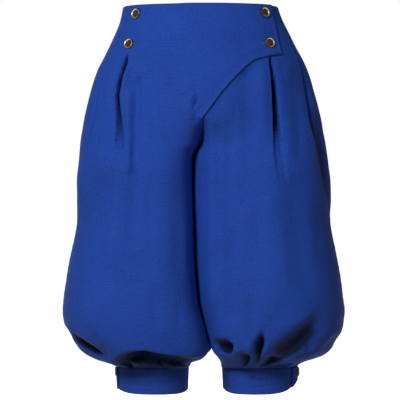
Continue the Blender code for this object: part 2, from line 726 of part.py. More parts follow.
def material(name, colour, roughness, metallic):
    made = bpy.data.materials.new(name)
    made.use_nodes = True
    shader = made.node_tree.nodes["Principled BSDF"]
    shader.inputs["Base Color"].default_value = colour
    shader.inputs["Roughness"].default_value = roughness
    shader.inputs["Metallic"].default_value = metallic
    made.diffuse_color = colour
    return made


def build():
    for old in list(bpy.data.objects):
        bpy.data.objects.remove(old, do_unlink=True)
    group = bpy.data.collections.new(NAME)
    bpy.context.scene.collection.children.link(group)

    cloth = [
        panel("front_right", "right", front_places, "front_steps", flap=True),
        panel("front_left", "left", front_places, "front_steps"),
        panel("back_right", "right", back_places, "back_steps"),
        panel("back_left", "left", back_places, "back_steps"),
    ]
    bands = {band["leg"]: band for band in named(CUFFS, CUFF_COLUMNS)}
    cloth += [cuff(band) for band in bands.values()]
    for thing in cloth:
        thing.data.materials.append(material(thing.name + "_cloth", BLUE, BLUE_ROUGHNESS, 0.0))
        group.objects.link(thing)

    buttons = []
    for one in named(BUTTONS, BUTTON_COLUMNS):
        place, way = button_seat(one["on"], one["across"], one["drop"], BUTTON_GAP)
        buttons.append(button(one["name"], one["diameter"], place, way))
    for one in named(CUFF_BUTTONS, CUFF_BUTTON_COLUMNS):
        place, way = cuff_seat(bands[one["leg"]], one["angle"], CUFF_TOP + one["below_top"], BUTTON_GAP)
        buttons.append(button(one["name"], one["diameter"], place, way))
    for thing in buttons:
        thing.data.materials.append(material(thing.name + "_brass", BRASS, BRASS_ROUGHNESS, 1.0))
        group.objects.link(thing)
    bpy.context.view_layer.update()


build()
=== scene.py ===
# %% [markdown]
# # Gathered knee-length trousers with a wrap-over front flap
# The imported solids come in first. They fix where everything is, and each piece of cloth made
# below stands for the solid of the same name. All sizes are in millimetres until the last
# step of each piece, because a maker works in millimetres.

# %% Load the solids
import math

import bmesh
import bpy
import numpy as np
from mathutils import Matrix, Vector


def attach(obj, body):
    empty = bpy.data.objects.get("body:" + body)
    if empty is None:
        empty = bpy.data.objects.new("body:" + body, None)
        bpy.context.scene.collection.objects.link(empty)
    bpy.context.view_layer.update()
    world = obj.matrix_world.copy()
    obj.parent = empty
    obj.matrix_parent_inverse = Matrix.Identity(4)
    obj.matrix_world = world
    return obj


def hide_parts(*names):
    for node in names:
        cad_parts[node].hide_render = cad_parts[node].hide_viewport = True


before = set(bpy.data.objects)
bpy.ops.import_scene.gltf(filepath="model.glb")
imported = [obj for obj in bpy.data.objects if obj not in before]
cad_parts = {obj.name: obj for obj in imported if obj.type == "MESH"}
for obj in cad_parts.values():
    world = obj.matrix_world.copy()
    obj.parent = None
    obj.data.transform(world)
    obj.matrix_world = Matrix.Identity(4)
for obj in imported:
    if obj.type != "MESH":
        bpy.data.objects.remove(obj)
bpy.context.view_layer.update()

MM = 0.001

# %% [markdown]
# ## Camera
# The photograph looks straight at the front from about knee-to-waist height and far away,
# so the legs show hardly any perspective. A long lens from four metres does the same.

# %% Camera
PHOTO_LENS = 217.4
camera_data = bpy.data.cameras.new("camera")
camera_data.lens = PHOTO_LENS
camera = bpy.data.objects.new("camera", camera_data)
camera.location = (-0.0017, -4.0, -0.2988)
camera.rotation_euler = (math.radians(90.0), 0.0, 0.0)
bpy.context.collection.objects.link(camera)
bpy.context.scene.camera = camera
bpy.context.scene.view_settings.view_transform = "Standard"
print("camera at", tuple(camera.location))

# %% [markdown]
# ## The smooth form
# A worn pair of trousers is two tubes that join into one at the hips. A row of measures for
# each level, as a tape would give them, is enough to draw it: how far out the hip and the
# leg reach, how deep front and back stand. `drop` is the distance below the waist edge.

# %% Measures of the form
ORIGIN_DROP = 20.0
CLOTH_END = 593.7
FORK_FRONT = 186.0
FORK_BACK = 168.0
CROTCH = 275.0
FORK_OPENS = 0.66
ROUND_BODY = 2.2
ROUND_OUTER = 2.15
LEG_SIDES = {
    "right": {"sign": -1.0, "squareness": 4.4},
    "left": {"sign": 1.0, "squareness": 3.8},
}
TURN_COLUMNS = ("share", "body", "leg")
TURNS = {
    "right": (
        (0.0, 0.0, 0.0),
        (0.40, 36.0, 56.0),
        (0.70, 62.5, 98.0),
        (0.86, 78.0, 124.0),
        (0.94, 85.5, 145.0),
        (1.0, 90.0, 180.0),
    ),
    "left": (
        (0.0, 0.0, 0.0),
        (0.40, 37.0, 57.0),
        (0.70, 64.5, 101.0),
        (0.86, 80.0, 128.0),
        (0.94, 87.0, 147.0),
        (1.0, 90.0, 180.0),
    ),
}
BODY_COLUMNS = ("drop", "right_outer", "right_inner", "left_inner", "left_outer", "front", "back", "seam")
BODY_ROWS = (
    (0, -129, 0, 0, 127, 92, 98, 30),
    (24, -134, 0, 0, 136, 97, 106, 33),
    (44, -142, 0, 0, 146, 102, 113, 36),
    (64, -151, 0, 0, 156, 106, 119, 40),
    (84, -161, 0, 0, 167, 110, 124, 45),
    (104, -171, 0, 0, 176, 113, 128, 50),
    (137, -182, 0, 0, 186, 117, 133, 57),
    (186, -194, 2, 2, 199, 120, 136, 64.5),
    (204, -197, 3.4, 3.4, 202, 120.6, 136, 67),
    (226, -200, 1.6, 1.6, 206, 121, 136, 70),
    (241, -201, -7.4, -7.4, 208.5, 121.6, 135, 71.5),
    (256, -202, -10.4, -10.4, 210.5, 122, 134, 72),
    (286, -205, -11, -11, 214, 123, 131, 69),
    (319, -205, -10.5, -10.5, 215, 124, 128, 57),
    (352, -205, -9, -9, 214, 125, 127, 40),
    (385, -210, -8, -8, 219, 127, 128, 24),
    (418, -217, -7, -7, 225, 129, 130, 13),
    (451, -222, -4.5, -4.5, 231, 132, 133, 6),
    (484, -227, -1, -1, 235, 134, 135, 2.5),
    (501, -228.5, 2.5, 2.5, 237, 134, 135, 1),
    (517, -227, 7, 7, 235.5, 134, 133, 0),
    (534, -224, 11.5, 11.5, 232, 133, 131, 0),
    (550, -215, 15.5, 15.5, 223, 130.5, 128, 0),
    (560, -205, 17.5, 18.5, 217, 126.5, 124, 0),
    (567, -199, 15, 21.5, 212, 121, 118, 0),
    (575.5, -187, 5, 28, 200, 107, 105, 0),
    (580.5, -177, -7, 31.5, 187, 96, 94, 0),
    (585.5, -161, -16, 34, 172, 83, 82, 0),
    (590.5, -146, -19, 34.8, 162, 68, 68, 0),
    (593.7, -139.5, -19.8, 35, 158.5, 57.5, 57.5, 0),
)


# %% Curves through the measures
def column(rows, columns, name):
    """One named column of a table, as an array."""
    at = columns.index(name)
    return np.array([row[at] for row in rows], dtype=float)


def named(rows, columns):
    """The rows of a table, each with its values by name."""
    return [dict(zip(columns, row)) for row in rows]


def smooth_between(rows, columns, name):
    """A smooth curve through one column against the first, which never swings past its points."""
    x = column(rows, columns, columns[0])
    y = column(rows, columns, name)
    step = np.diff(x)
    slope = np.diff(y) / step
    tangent = np.zeros_like(y)
    tangent[0] = slope[0]
    tangent[-1] = slope[-1]
    for i in range(1, len(x) - 1):
        if slope[i - 1] * slope[i] > 0.0:
            near = 2.0 * step[i] + step[i - 1]
            far = step[i] + 2.0 * step[i - 1]
            tangent[i] = (near + far) / (near / slope[i - 1] + far / slope[i])

    def value(at):
        at = np.clip(np.asarray(at, dtype=float), x[0], x[-1])
        i = np.clip(np.searchsorted(x, at, side="right") - 1, 0, len(x) - 2)
        t = (at - x[i]) / step[i]
        rise = (1.0 + 2.0 * t) * (1.0 - t) ** 2 * y[i] + t * t * (3.0 - 2.0 * t) * y[i + 1]
        lean = t * (1.0 - t) ** 2 * step[i] * tangent[i] + t * t * (t - 1.0) * step[i] * tangent[i + 1]
        return rise + lean

    return value


def ease(start, end, at):
    """Zero before start, one after end, and a soft rise between."""
    t = np.clip((np.asarray(at, dtype=float) - start) / (end - start), 0.0, 1.0)
    return t * t * (3.0 - 2.0 * t)


BODY = {name: smooth_between(BODY_ROWS, BODY_COLUMNS, name) for name in BODY_COLUMNS[1:]}
TURN_CURVES = {
    side: {name: smooth_between(rows, TURN_COLUMNS, name) for name in TURN_COLUMNS[1:]}
    for side, rows in TURNS.items()
}

# %% The form as points
SEAM_GAP = 0.02
STEP_ALONG = 0.0015
# The left leg laps a little in front of the right one where they touch, and behind it further in.
LAP = 2.6
LAP_OVER = 22.0
LAP_DEGREES = (112.0, 150.0)
LAP_SHARES = (0.6, 1.0)
STEP_DOWN = 0.8


def rounded(degrees, squareness):
    """A point on a circle pushed out towards a square, as cosine and sine."""
    turn = np.radians(degrees)
    c = np.cos(turn)
    s = np.sin(turn)
    out = (np.abs(c) ** squareness + np.abs(s) ** squareness) ** (-1.0 / squareness)
    return c * out, s * out


def base(side, v, drop):
    """Points of the smooth form in mm: v is 0 at the outer side, 1 at the middle front, -1 behind."""
    v = np.asarray(v, dtype=float)
    drop = np.asarray(drop, dtype=float)
    leg = LEG_SIDES[side]
    share = np.abs(v)
    ahead = v >= 0.0
    inner = BODY[side + "_inner"](drop) + leg["sign"] * SEAM_GAP / 2.0
    outer = BODY[side + "_outer"](drop)
    depth = np.where(ahead, BODY["front"](drop), BODY["back"](drop))
    parted = np.where(ahead, ease(FORK_FRONT, CROTCH, drop) ** FORK_OPENS, ease(FORK_BACK, CROTCH, drop))

    c, s = rounded(TURN_CURVES[side]["body"](share), ROUND_BODY)
    body_x = inner + (outer - inner) * c + np.where(ahead, 0.0, LAP) * ease(*LAP_SHARES, share)
    body_y = depth * s
    degrees = TURN_CURVES[side]["leg"](share)
    squareness = np.where(degrees < 90.0, ROUND_OUTER, leg["squareness"])
    c, s = rounded(degrees, squareness)
    leg_x = (outer + inner) / 2.0 + (outer - inner) / 2.0 * c
    leg_y = depth * s
    facing = leg_y * np.where(ahead, -1.0, 1.0)
    leg_x = leg_x + LAP * np.tanh(facing / LAP_OVER) * ease(*LAP_DEGREES, degrees)

    x = body_x + parted * (leg_x - body_x)
    y = (body_y + parted * (leg_y - body_y)) * np.where(ahead, -1.0, 1.0)
    return np.stack([x, y, -drop + 0.0 * x], axis=-1)


def outward(side, v, drop):
    """The direction square to the smooth form, pointing out of the garment."""
    v = np.asarray(v, dtype=float)
    drop = np.asarray(drop, dtype=float) + 0.0 * v
    before = base(side, np.maximum(v - STEP_ALONG, -1.0), drop)
    along = base(side, np.minimum(v + STEP_ALONG, 1.0), drop) - before
    high = base(side, v, np.maximum(drop - STEP_DOWN, 0.0))
    down = base(side, v, np.minimum(drop + STEP_DOWN, CLOTH_END)) - high
    way = np.cross(along, down) * LEG_SIDES[side]["sign"]
    return way / np.linalg.norm(way, axis=-1, keepdims=True)


# %% [markdown]
# ## Folds
# Cloth that hangs from a waist and is gathered at the knee falls in long soft troughs. Two
# tucks are sewn at the top of the legs and let go below, so each opens into a deep slit that
# dies away. Behind each side seam the cloth folds back on itself. The solids have the tucks and
# the large folds too, but shallower, and they have no fold behind the side seams. The smaller
# creases are added as soft bent lines, each with its own length, width and depth,
# because real cloth never repeats itself.

# %% The flap, the tucks and the large folds
FLAP_COLUMNS = ("drop", "across")
FLAP_ROWS = (
    (0.0, 113.7),
    (82.2, 130.2),
    (83.6, 123.0),
    (85.8, 110.6),
    (89.4, 95.7),
    (93.0, 85.9),
    (102.5, 72.8),
    (115.6, 59.8),
    (130.0, 46.8),
    (144.8, 33.8),
    (160.2, 22.5),
    (173.3, 12.9),
    (186.3, 2.6),
    (188.2, 0.4),
)
FOLDS_BEGIN = (1.0, 13.0)
TUCK_COLUMNS = ("drop", "across", "depth", "width")
TUCKS = {
    "right": (
        (0.0, 112.0, 0.0, 1.8),
        (80.0, 119.2, 0.0, 1.8),
        (84.0, 120.2, 6.0, 1.6),
        (90.0, 121.4, 15.0, 2.6),
        (100.0, 124.0, 22.0, 3.7),
        (110.0, 127.0, 25.0, 4.3),
        (124.0, 130.8, 25.0, 4.3),
        (137.0, 133.8, 22.0, 4.0),
        (150.0, 135.6, 18.0, 3.7),
        (166.0, 135.0, 12.0, 3.9),
        (186.0, 133.4, 9.0, 4.8),
        (214.0, 131.8, 6.0, 6.2),
        (246.0, 131.4, 0.0, 8.0),
    ),
    "left": (
        (0.0, 104.0, 0.0, 1.8),
        (79.0, 110.4, 0.0, 1.8),
        (83.0, 111.0, 5.0, 1.8),
        (92.0, 112.3, 15.0, 2.2),
        (109.0, 115.0, 21.0, 2.9),
        (126.0, 117.6, 24.0, 3.4),
        (151.0, 119.4, 23.0, 4.0),
        (174.0, 121.0, 17.0, 4.6),
        (199.0, 122.4, 10.0, 5.6),
        (226.0, 124.0, 5.5, 6.6),
        (268.0, 128.9, 2.5, 8.0),
        (306.0, 136.7, 0.0, 9.0),
    ),
}
# Beside a tuck the cloth swells on one side (+1 is outwards) and slopes away on the other,
# as shares of its depth, with how far off that is and how wide, in mm.
TUCK_RIDGE_SIDE = {"right": -1.0, "left": 1.0}
TUCK_RIDGE = {"right": (0.12, 8.0, 5.0), "left": (0.09, 10.0, 6.5)}
TUCK_SLOPE = {"right": (0.07, 8.0, 5.0), "left": (0.0, 8.0, 6.0)}
TUCK_SQUARE = 3.2
# TUCK_SHADE and SIDE_SHADE scale the painted shade in the tucks and in the folds behind the side seams.
TUCK_SHADE = 1.25
SIDE_SHADE = 1.35
SIDE_FOLD_ENDS = 0.6
TUCK_FADE = (0.03, 0.12)
FOLD_FADE = (0.03, 0.16)
MIDDLE_FADE = 14.0
FOLD_COLUMNS = ("leg", "face", "across_0", "drop_0", "across_1", "drop_1", "width", "height")
FOLDS = (
    ("right", "front", 103.0, 128.0, 107.0, 246.0, 8.0, -5.4),
    ("right", "front", 115.0, 152.0, 117.0, 270.0, 5.6, 3.2),
    ("right", "front", 103.0, 262.0, 112.0, 385.0, 13.0, -3.2),
    ("right", "front", 124.0, 110.0, 118.0, 200.0, 7.0, 3.0),
    ("right", "front", 8.0, 168.0, 11.0, 190.0, 7.0, -2.2),
    ("right", "front", 160.0, 300.0, 176.0, 470.0, 22.0, -4.0),
    ("right", "front", 60.0, 260.0, 62.0, 440.0, 26.0, 3.0),
    ("left", "front", 73.0, 112.0, 76.0, 215.0, 15.0, -3.4),
    ("left", "front", 75.0, 248.0, 70.0, 320.0, 13.0, -2.2),
    ("left", "front", 100.0, 112.0, 102.0, 220.0, 9.0, 2.0),
    ("left", "front", 138.0, 110.0, 142.0, 240.0, 9.0, 2.0),
    ("left", "front", 46.0, 226.0, 48.0, 500.0, 15.0, -4.0),
    ("left", "front", 15.0, 200.0, 20.0, 480.0, 9.0, 3.0),
    ("left", "front", 150.0, 300.0, 168.0, 450.0, 20.0, -4.0),
    ("left", "front", 108.0, 330.0, 112.0, 490.0, 24.0, 3.0),
    ("right", "back", 50.0, 60.0, 62.0, 190.0, 16.0, -4.0),
    ("right", "back", 100.0, 90.0, 118.0, 300.0, 18.0, -5.0),
    ("right", "back", 60.0, 230.0, 72.0, 430.0, 20.0, -4.0),
    ("right", "back", 26.0, 215.0, 96.0, 262.0, 14.0, -2.6),
    ("left", "back", 46.0, 70.0, 58.0, 200.0, 16.0, -4.0),
    ("left", "back", 104.0, 80.0, 122.0, 280.0, 18.0, -5.0),
    ("left", "back", 66.0, 240.0, 80.0, 450.0, 20.0, -4.0),
    ("left", "back", 28.0, 222.0, 104.0, 272.0, 14.0, -2.6),
)
# Where the front stands proud of the back beside a side seam: a groove just behind the seam.
SIDE_FOLD_COLUMNS = ("leg", "from_drop", "to_drop", "behind", "width", "depth")
SIDE_FOLDS = (
    ("right", 84.0, 346.0, 4.4, 5.0, 3.4),
    ("left", 92.0, 354.0, 6.5, 6.6, 8.5),
    ("left", 165.0, 348.0, 24.0, 16.0, 9.5),
)
TUCK_CURVES = {
    side: {name: smooth_between(rows, TUCK_COLUMNS, name) for name in TUCK_COLUMNS[1:]}
    for side, rows in TUCKS.items()
}
FLAP_LOWER_ACROSS = column(FLAP_ROWS[:0:-1], FLAP_COLUMNS, "across")
FLAP_LOWER_DROP = column(FLAP_ROWS[:0:-1], FLAP_COLUMNS, "drop")
print(len(FOLDS), "large folds and", len(TUCKS), "tucks")

# %% The small creases
# Each is a bent line through three points (across and drop), with a width and a height.
CREASE_COLUMNS = ("leg", "face", "x0", "z0", "x1", "z1", "x2", "z2", "width", "height")
CREASES = (
    # wearer's right front: drag lines from the waist button, the fork and the knee
    ("right", "front", -2.0, 154.0, 6.0, 161.0, 13.0, 172.0, 3.0, -5.2),
    ("right", "front", 6.0, 140.0, 5.0, 150.0, 4.0, 162.0, 4.2, -3.0),
    ("right", "front", 2.0, 174.0, 6.0, 182.0, 9.0, 196.0, 5.0, -3.0),
    ("right", "front", 104.0, 74.0, 97.0, 92.0, 98.0, 116.0, 6.0, -1.2),
    ("right", "front", 86.0, 92.0, 84.0, 130.0, 80.0, 178.0, 8.0, -1.5),
    ("right", "front", 72.0, 120.0, 68.0, 170.0, 66.0, 240.0, 9.0, 1.3),
    ("right", "front", 48.0, 118.0, 40.0, 150.0, 22.0, 172.0, 6.0, -1.2),
    ("right", "front", 64.0, 158.0, 44.0, 178.0, 20.0, 186.0, 7.0, -1.1),
    ("right", "front", 46.0, 210.0, 30.0, 224.0, 12.0, 226.0, 6.0, -1.4),
    ("right", "front", 84.0, 262.0, 82.0, 330.0, 86.0, 400.0, 9.0, -1.5),
    ("right", "front", 44.0, 300.0, 38.0, 380.0, 44.0, 460.0, 11.0, -1.8),
    ("right", "front", 136.0, 300.0, 146.0, 380.0, 150.0, 450.0, 10.0, 1.6),
    ("right", "front", 120.0, 400.0, 128.0, 450.0, 124.0, 505.0, 9.0, -1.4),
    ("right", "front", 70.0, 452.0, 74.0, 490.0, 70.0, 530.0, 8.0, -1.5),
    ("right", "front", 30.0, 470.0, 36.0, 505.0, 33.0, 545.0, 7.0, -1.6),
    ("right", "front", 182.0, 520.0, 172.0, 545.0, 150.0, 556.0, 6.0, -2.4),
    ("right", "front", 200.0, 540.0, 178.0, 556.0, 160.0, 570.0, 5.0, -2.6),
    ("right", "front", 160.0, 553.0, 153.0, 566.0, 150.0, 577.0, 4.5, -2.4),
    ("right", "front", 176.0, 150.0, 180.0, 220.0, 186.0, 290.0, 7.0, 1.6),
    ("right", "front", 150.0, 96.0, 160.0, 130.0, 165.0, 170.0, 8.0, -1.2),
    ("right", "front", 22.0, 350.0, 27.0, 400.0, 24.0, 440.0, 6.0, 1.2),
    # wearer's left front
    ("left", "front", 58.0, 150.0, 50.0, 190.0, 44.0, 240.0, 11.0, -1.3),
    ("left", "front", 30.0, 196.0, 26.0, 240.0, 30.0, 300.0, 6.0, -1.6),
    ("left", "front", 66.0, 186.0, 42.0, 204.0, 14.0, 206.0, 8.0, -0.8),
    ("left", "front", 60.0, 226.0, 40.0, 236.0, 12.0, 230.0, 7.0, -1.1),
    ("left", "front", 86.0, 300.0, 90.0, 360.0, 86.0, 430.0, 10.0, -1.6),
    ("left", "front", 128.0, 350.0, 132.0, 410.0, 138.0, 470.0, 9.0, 1.6),
    ("left", "front", 186.0, 300.0, 190.0, 370.0, 196.0, 440.0, 8.0, -1.5),
    ("left", "front", 62.0, 430.0, 66.0, 480.0, 62.0, 525.0, 8.0, 1.6),
    ("left", "front", 84.0, 470.0, 82.0, 505.0, 86.0, 545.0, 7.0, -1.8),
    ("left", "front", 194.0, 510.0, 168.0, 534.0, 144.0, 566.0, 8.0, -4.0),
    ("left", "front", 222.0, 536.0, 210.0, 552.0, 196.0, 562.0, 4.5, -2.2),
    ("left", "front", 184.0, 548.0, 176.0, 562.0, 170.0, 574.0, 4.5, -2.4),
    ("left", "front", 98.0, 520.0, 96.0, 545.0, 92.0, 566.0, 4.5, -2.2),
    ("left", "front", 178.0, 130.0, 184.0, 190.0, 190.0, 260.0, 7.0, 1.6),
    ("left", "front", 152.0, 150.0, 160.0, 210.0, 158.0, 270.0, 8.0, -1.4),
    ("left", "front", 20.0, 330.0, 26.0, 390.0, 24.0, 450.0, 6.0, -1.3),
    # backs: drag lines from the seat to the fork and the knee, softer than in front
    ("right", "back", 20.0, 96.0, 34.0, 130.0, 40.0, 176.0, 10.0, -1.6),
    ("right", "back", 78.0, 60.0, 84.0, 110.0, 88.0, 170.0, 9.0, 1.5),
    ("right", "back", 14.0, 196.0, 44.0, 214.0, 78.0, 216.0, 7.0, -1.6),
    ("right", "back", 20.0, 246.0, 50.0, 280.0, 90.0, 300.0, 8.0, -1.5),
    ("right", "back", 130.0, 180.0, 140.0, 260.0, 146.0, 340.0, 11.0, 1.8),
    ("right", "back", 40.0, 330.0, 44.0, 400.0, 40.0, 480.0, 10.0, 1.6),
    ("right", "back", 100.0, 340.0, 104.0, 420.0, 112.0, 500.0, 10.0, -1.9),
    ("right", "back", 150.0, 400.0, 158.0, 460.0, 154.0, 520.0, 9.0, -1.6),
    ("right", "back", 178.0, 520.0, 160.0, 540.0, 140.0, 560.0, 6.0, -2.6),
    ("left", "back", 22.0, 110.0, 36.0, 140.0, 44.0, 186.0, 10.0, -1.6),
    ("left", "back", 84.0, 50.0, 88.0, 100.0, 86.0, 160.0, 9.0, 1.5),
    ("left", "back", 14.0, 204.0, 40.0, 226.0, 76.0, 232.0, 7.0, -1.6),
    ("left", "back", 24.0, 256.0, 56.0, 290.0, 100.0, 306.0, 8.0, -1.5),
    ("left", "back", 132.0, 190.0, 144.0, 270.0, 150.0, 350.0, 11.0, 1.8),
    ("left", "back", 42.0, 340.0, 48.0, 410.0, 44.0, 490.0, 10.0, 1.6),
    ("left", "back", 110.0, 330.0, 116.0, 410.0, 122.0, 500.0, 10.0, -1.9),
    ("left", "back", 160.0, 410.0, 166.0, 470.0, 160.0, 530.0, 9.0, -1.6),
    ("left", "back", 190.0, 526.0, 172.0, 546.0, 150.0, 562.0, 6.0, -2.6),
)
CREASE_PARTS = 10
CREASE_ENDS = 0.8
# Puckers of the flap above the fork, across the middle: they only stand out, so they never
# press on the left front below. Here x runs from the wearer's right (below zero) to the left.
PUCKER_COLUMNS = ("x0", "z0", "x1", "z1", "x2", "z2", "width", "height")
FLAP_PUCKERS = (
    (-21.0, 161.0, -13.0, 151.0, -3.0, 143.0, 4.0, 1.6),
    (-10.0, 176.0, -5.0, 168.0, 0.0, 161.0, 3.4, 1.8),
    (-34.0, 150.0, -24.0, 138.0, -10.0, 128.0, 7.0, 1.0),
    (24.0, 118.0, 46.0, 104.0, 66.0, 84.0, 9.0, 0.9),
    (58.0, 96.0, 80.0, 78.0, 98.0, 70.0, 6.0, 0.8),
    (92.0, 30.0, 96.0, 42.0, 98.0, 56.0, 7.0, 0.5),
)
print(len(CREASES), "small creases")


# %% Heights of folds and creases
def beside_line(across, drop, ends):
    """Distance from the line between two ends, and the share of the way along it."""
    (x0, z0), (x1, z1) = ends
    dx = x1 - x0
    dz = z1 - z0
    t = np.clip(((across - x0) * dx + (drop - z0) * dz) / (dx * dx + dz * dz), 0.0, 1.0)
    return np.hypot(across - x0 - t * dx, drop - z0 - t * dz), t


def beside_path(across, drop, path):
    """Distance from a path of points, and the share of the way along it."""
    nearest = np.full(np.shape(across), 1e9)
    place = np.zeros(np.shape(across))
    parts = len(path) - 1
    for i in range(parts):
        away, t = beside_line(across, drop, (path[i], path[i + 1]))
        closer = away < nearest
        nearest = np.where(closer, away, nearest)
        place = np.where(closer, (i + t) / parts, place)
    return nearest, place


def crease_path(crease):
    """A bend through the three points of a crease."""
    t = np.linspace(0.0, 1.0, CREASE_PARTS + 1)[:, None]
    first, middle, last = (np.array([crease["x" + n], crease["z" + n]]) for n in "012")
    pull = 2.0 * middle - (first + last) / 2.0
    return (1.0 - t) ** 2 * first + 2.0 * t * (1.0 - t) * pull + t * t * last


def creased(side, v, across, drop):
    """How far the small creases stand out of the cloth, in mm."""
    height = np.zeros_like(across)
    for crease in named(CREASES, CREASE_COLUMNS):
        if crease["leg"] == side:
            path = crease_path(crease)
            reach = 3.0 * crease["width"]
            low, high = path.min(axis=0) - reach, path.max(axis=0) + reach
            close = (v > 0.0) == (crease["face"] == "front")
            close &= (across > low[0]) & (across < high[0]) & (drop > low[1]) & (drop < high[1])
            if close.any():
                away, place = beside_path(across[close], drop[close], path)
                fade = np.sin(math.pi * place) ** CREASE_ENDS * ease(*FOLD_FADE, np.abs(v[close]))
                height[close] += crease["height"] * fade * np.exp(-((away / crease["width"]) ** 2))
    return height


# %% How high folds, tucks and creases stand together
# The unevenness of the cloth is two products of waves, whose lengths in mm never line up.
SLOW_UNEVEN = 0.42
QUICK_UNEVEN = 0.14


def uneven(across, drop):
    """A slight restlessness of hand-pressed cloth, in mm."""
    slow = np.sin(across / 19.0 + 1.4 * np.sin(drop / 47.0))
    slow = slow * np.sin(drop / 33.0 + 0.8 * np.sin(across / 27.0))
    quick = np.sin(across / 7.3 + drop / 15.0) * np.sin(drop / 9.1 - across / 13.0 + 2.0)
    return SLOW_UNEVEN * slow + QUICK_UNEVEN * quick


def tucked(side, v, drop, across):
    """How deep the released tuck is, and how far beside its line, in mm."""
    curves = TUCK_CURVES[side]
    beside = across - curves["across"](drop)
    near = beside / curves["width"](drop)
    deep = np.where(v > 0.0, 1.0, 0.0) * ease(*TUCK_FADE, v) * curves["depth"](drop)
    return deep, deep * np.exp(-((near * near) ** TUCK_SQUARE)), beside


def side_folds(side, v, drop):
    """How deep the folds behind the side seam are, in mm."""
    from_side = np.linalg.norm(base(side, v, drop) - base(side, 0.0 * v, drop), axis=-1) * np.sign(v)
    total = 0.0 * v
    for fold in named(SIDE_FOLDS, SIDE_FOLD_COLUMNS):
        if fold["leg"] == side:
            place = np.clip((drop - fold["from_drop"]) / (fold["to_drop"] - fold["from_drop"]), 0.0, 1.0)
            near = (from_side - BODY["seam"](drop) + fold["behind"]) / fold["width"]
            total = total + fold["depth"] * np.sin(math.pi * place) ** SIDE_FOLD_ENDS * np.exp(-near * near)
    return total


def slit_painted_shade(side, v, drop):
    """How much painted shade the tucks and the side folds get, as a depth in mm."""
    across = base(side, v, drop)[..., 0] * LEG_SIDES[side]["sign"]
    return TUCK_SHADE * tucked(side, v, drop, across)[1] + SIDE_SHADE * side_folds(side, v, drop)


def relief(side, v, drop):
    """How far folds, tucks and creases stand out of the smooth form, in mm."""
    v = np.asarray(v, dtype=float)
    drop = np.asarray(drop, dtype=float) + 0.0 * v
    sign = LEG_SIDES[side]["sign"]
    across = base(side, v, drop)[..., 0] * sign
    inner = BODY[side + "_inner"](drop) * sign
    height = creased(side, v, across, drop)
    for fold in named(FOLDS, FOLD_COLUMNS):
        if fold["leg"] == side:
            facing = np.where((v > 0.0) == (fold["face"] == "front"), 1.0, 0.0) * ease(*FOLD_FADE, np.abs(v))
            ends = ((fold["across_0"], fold["drop_0"]), (fold["across_1"], fold["drop_1"]))
            near = beside_line(across, drop, ends)[0] / fold["width"]
            height = height + facing * fold["height"] * np.exp(-near * near)

    height = height - side_folds(side, v, drop)
    deep, groove, beside = tucked(side, v, drop, across)
    height = height - groove
    for (tall, at, wide), way in ((TUCK_RIDGE[side], 1.0), (TUCK_SLOPE[side], -1.0)):
        middle = at * way * TUCK_RIDGE_SIDE[side]
        height = height + way * tall * deep * np.exp(-(((beside - middle) / wide) ** 2))

    # The left front lies flat under the flap, and its folds begin below the flap's edge.
    if side == "left":
        edge = np.interp(across, FLAP_LOWER_ACROSS, FLAP_LOWER_DROP, right=0.0)
        below = ease(edge + FOLDS_BEGIN[0], edge + FOLDS_BEGIN[1], drop)
        height = height * np.where(v > 0.0, below, 1.0)
    return height * ease(0.0, MIDDLE_FADE, across - inner)


# %% [markdown]
# ## Gathers at the knee
# A gathering thread pulls the wide leg down to the width of the cuff. The cloth bulges out
# between the places where it is drawn in, and hangs over the cuff. Each row below is one place
# where it is drawn in (or, with a depth below zero, one puff that bulges out). The real ones
# differ in length and depth, so each has its own numbers, and the fine ripple right at the
# seam is a sum of two waves that never line up. Where a leg is full, its cloth turns under above
# the cuff and comes back in to the seam. The solids have no such overhang.

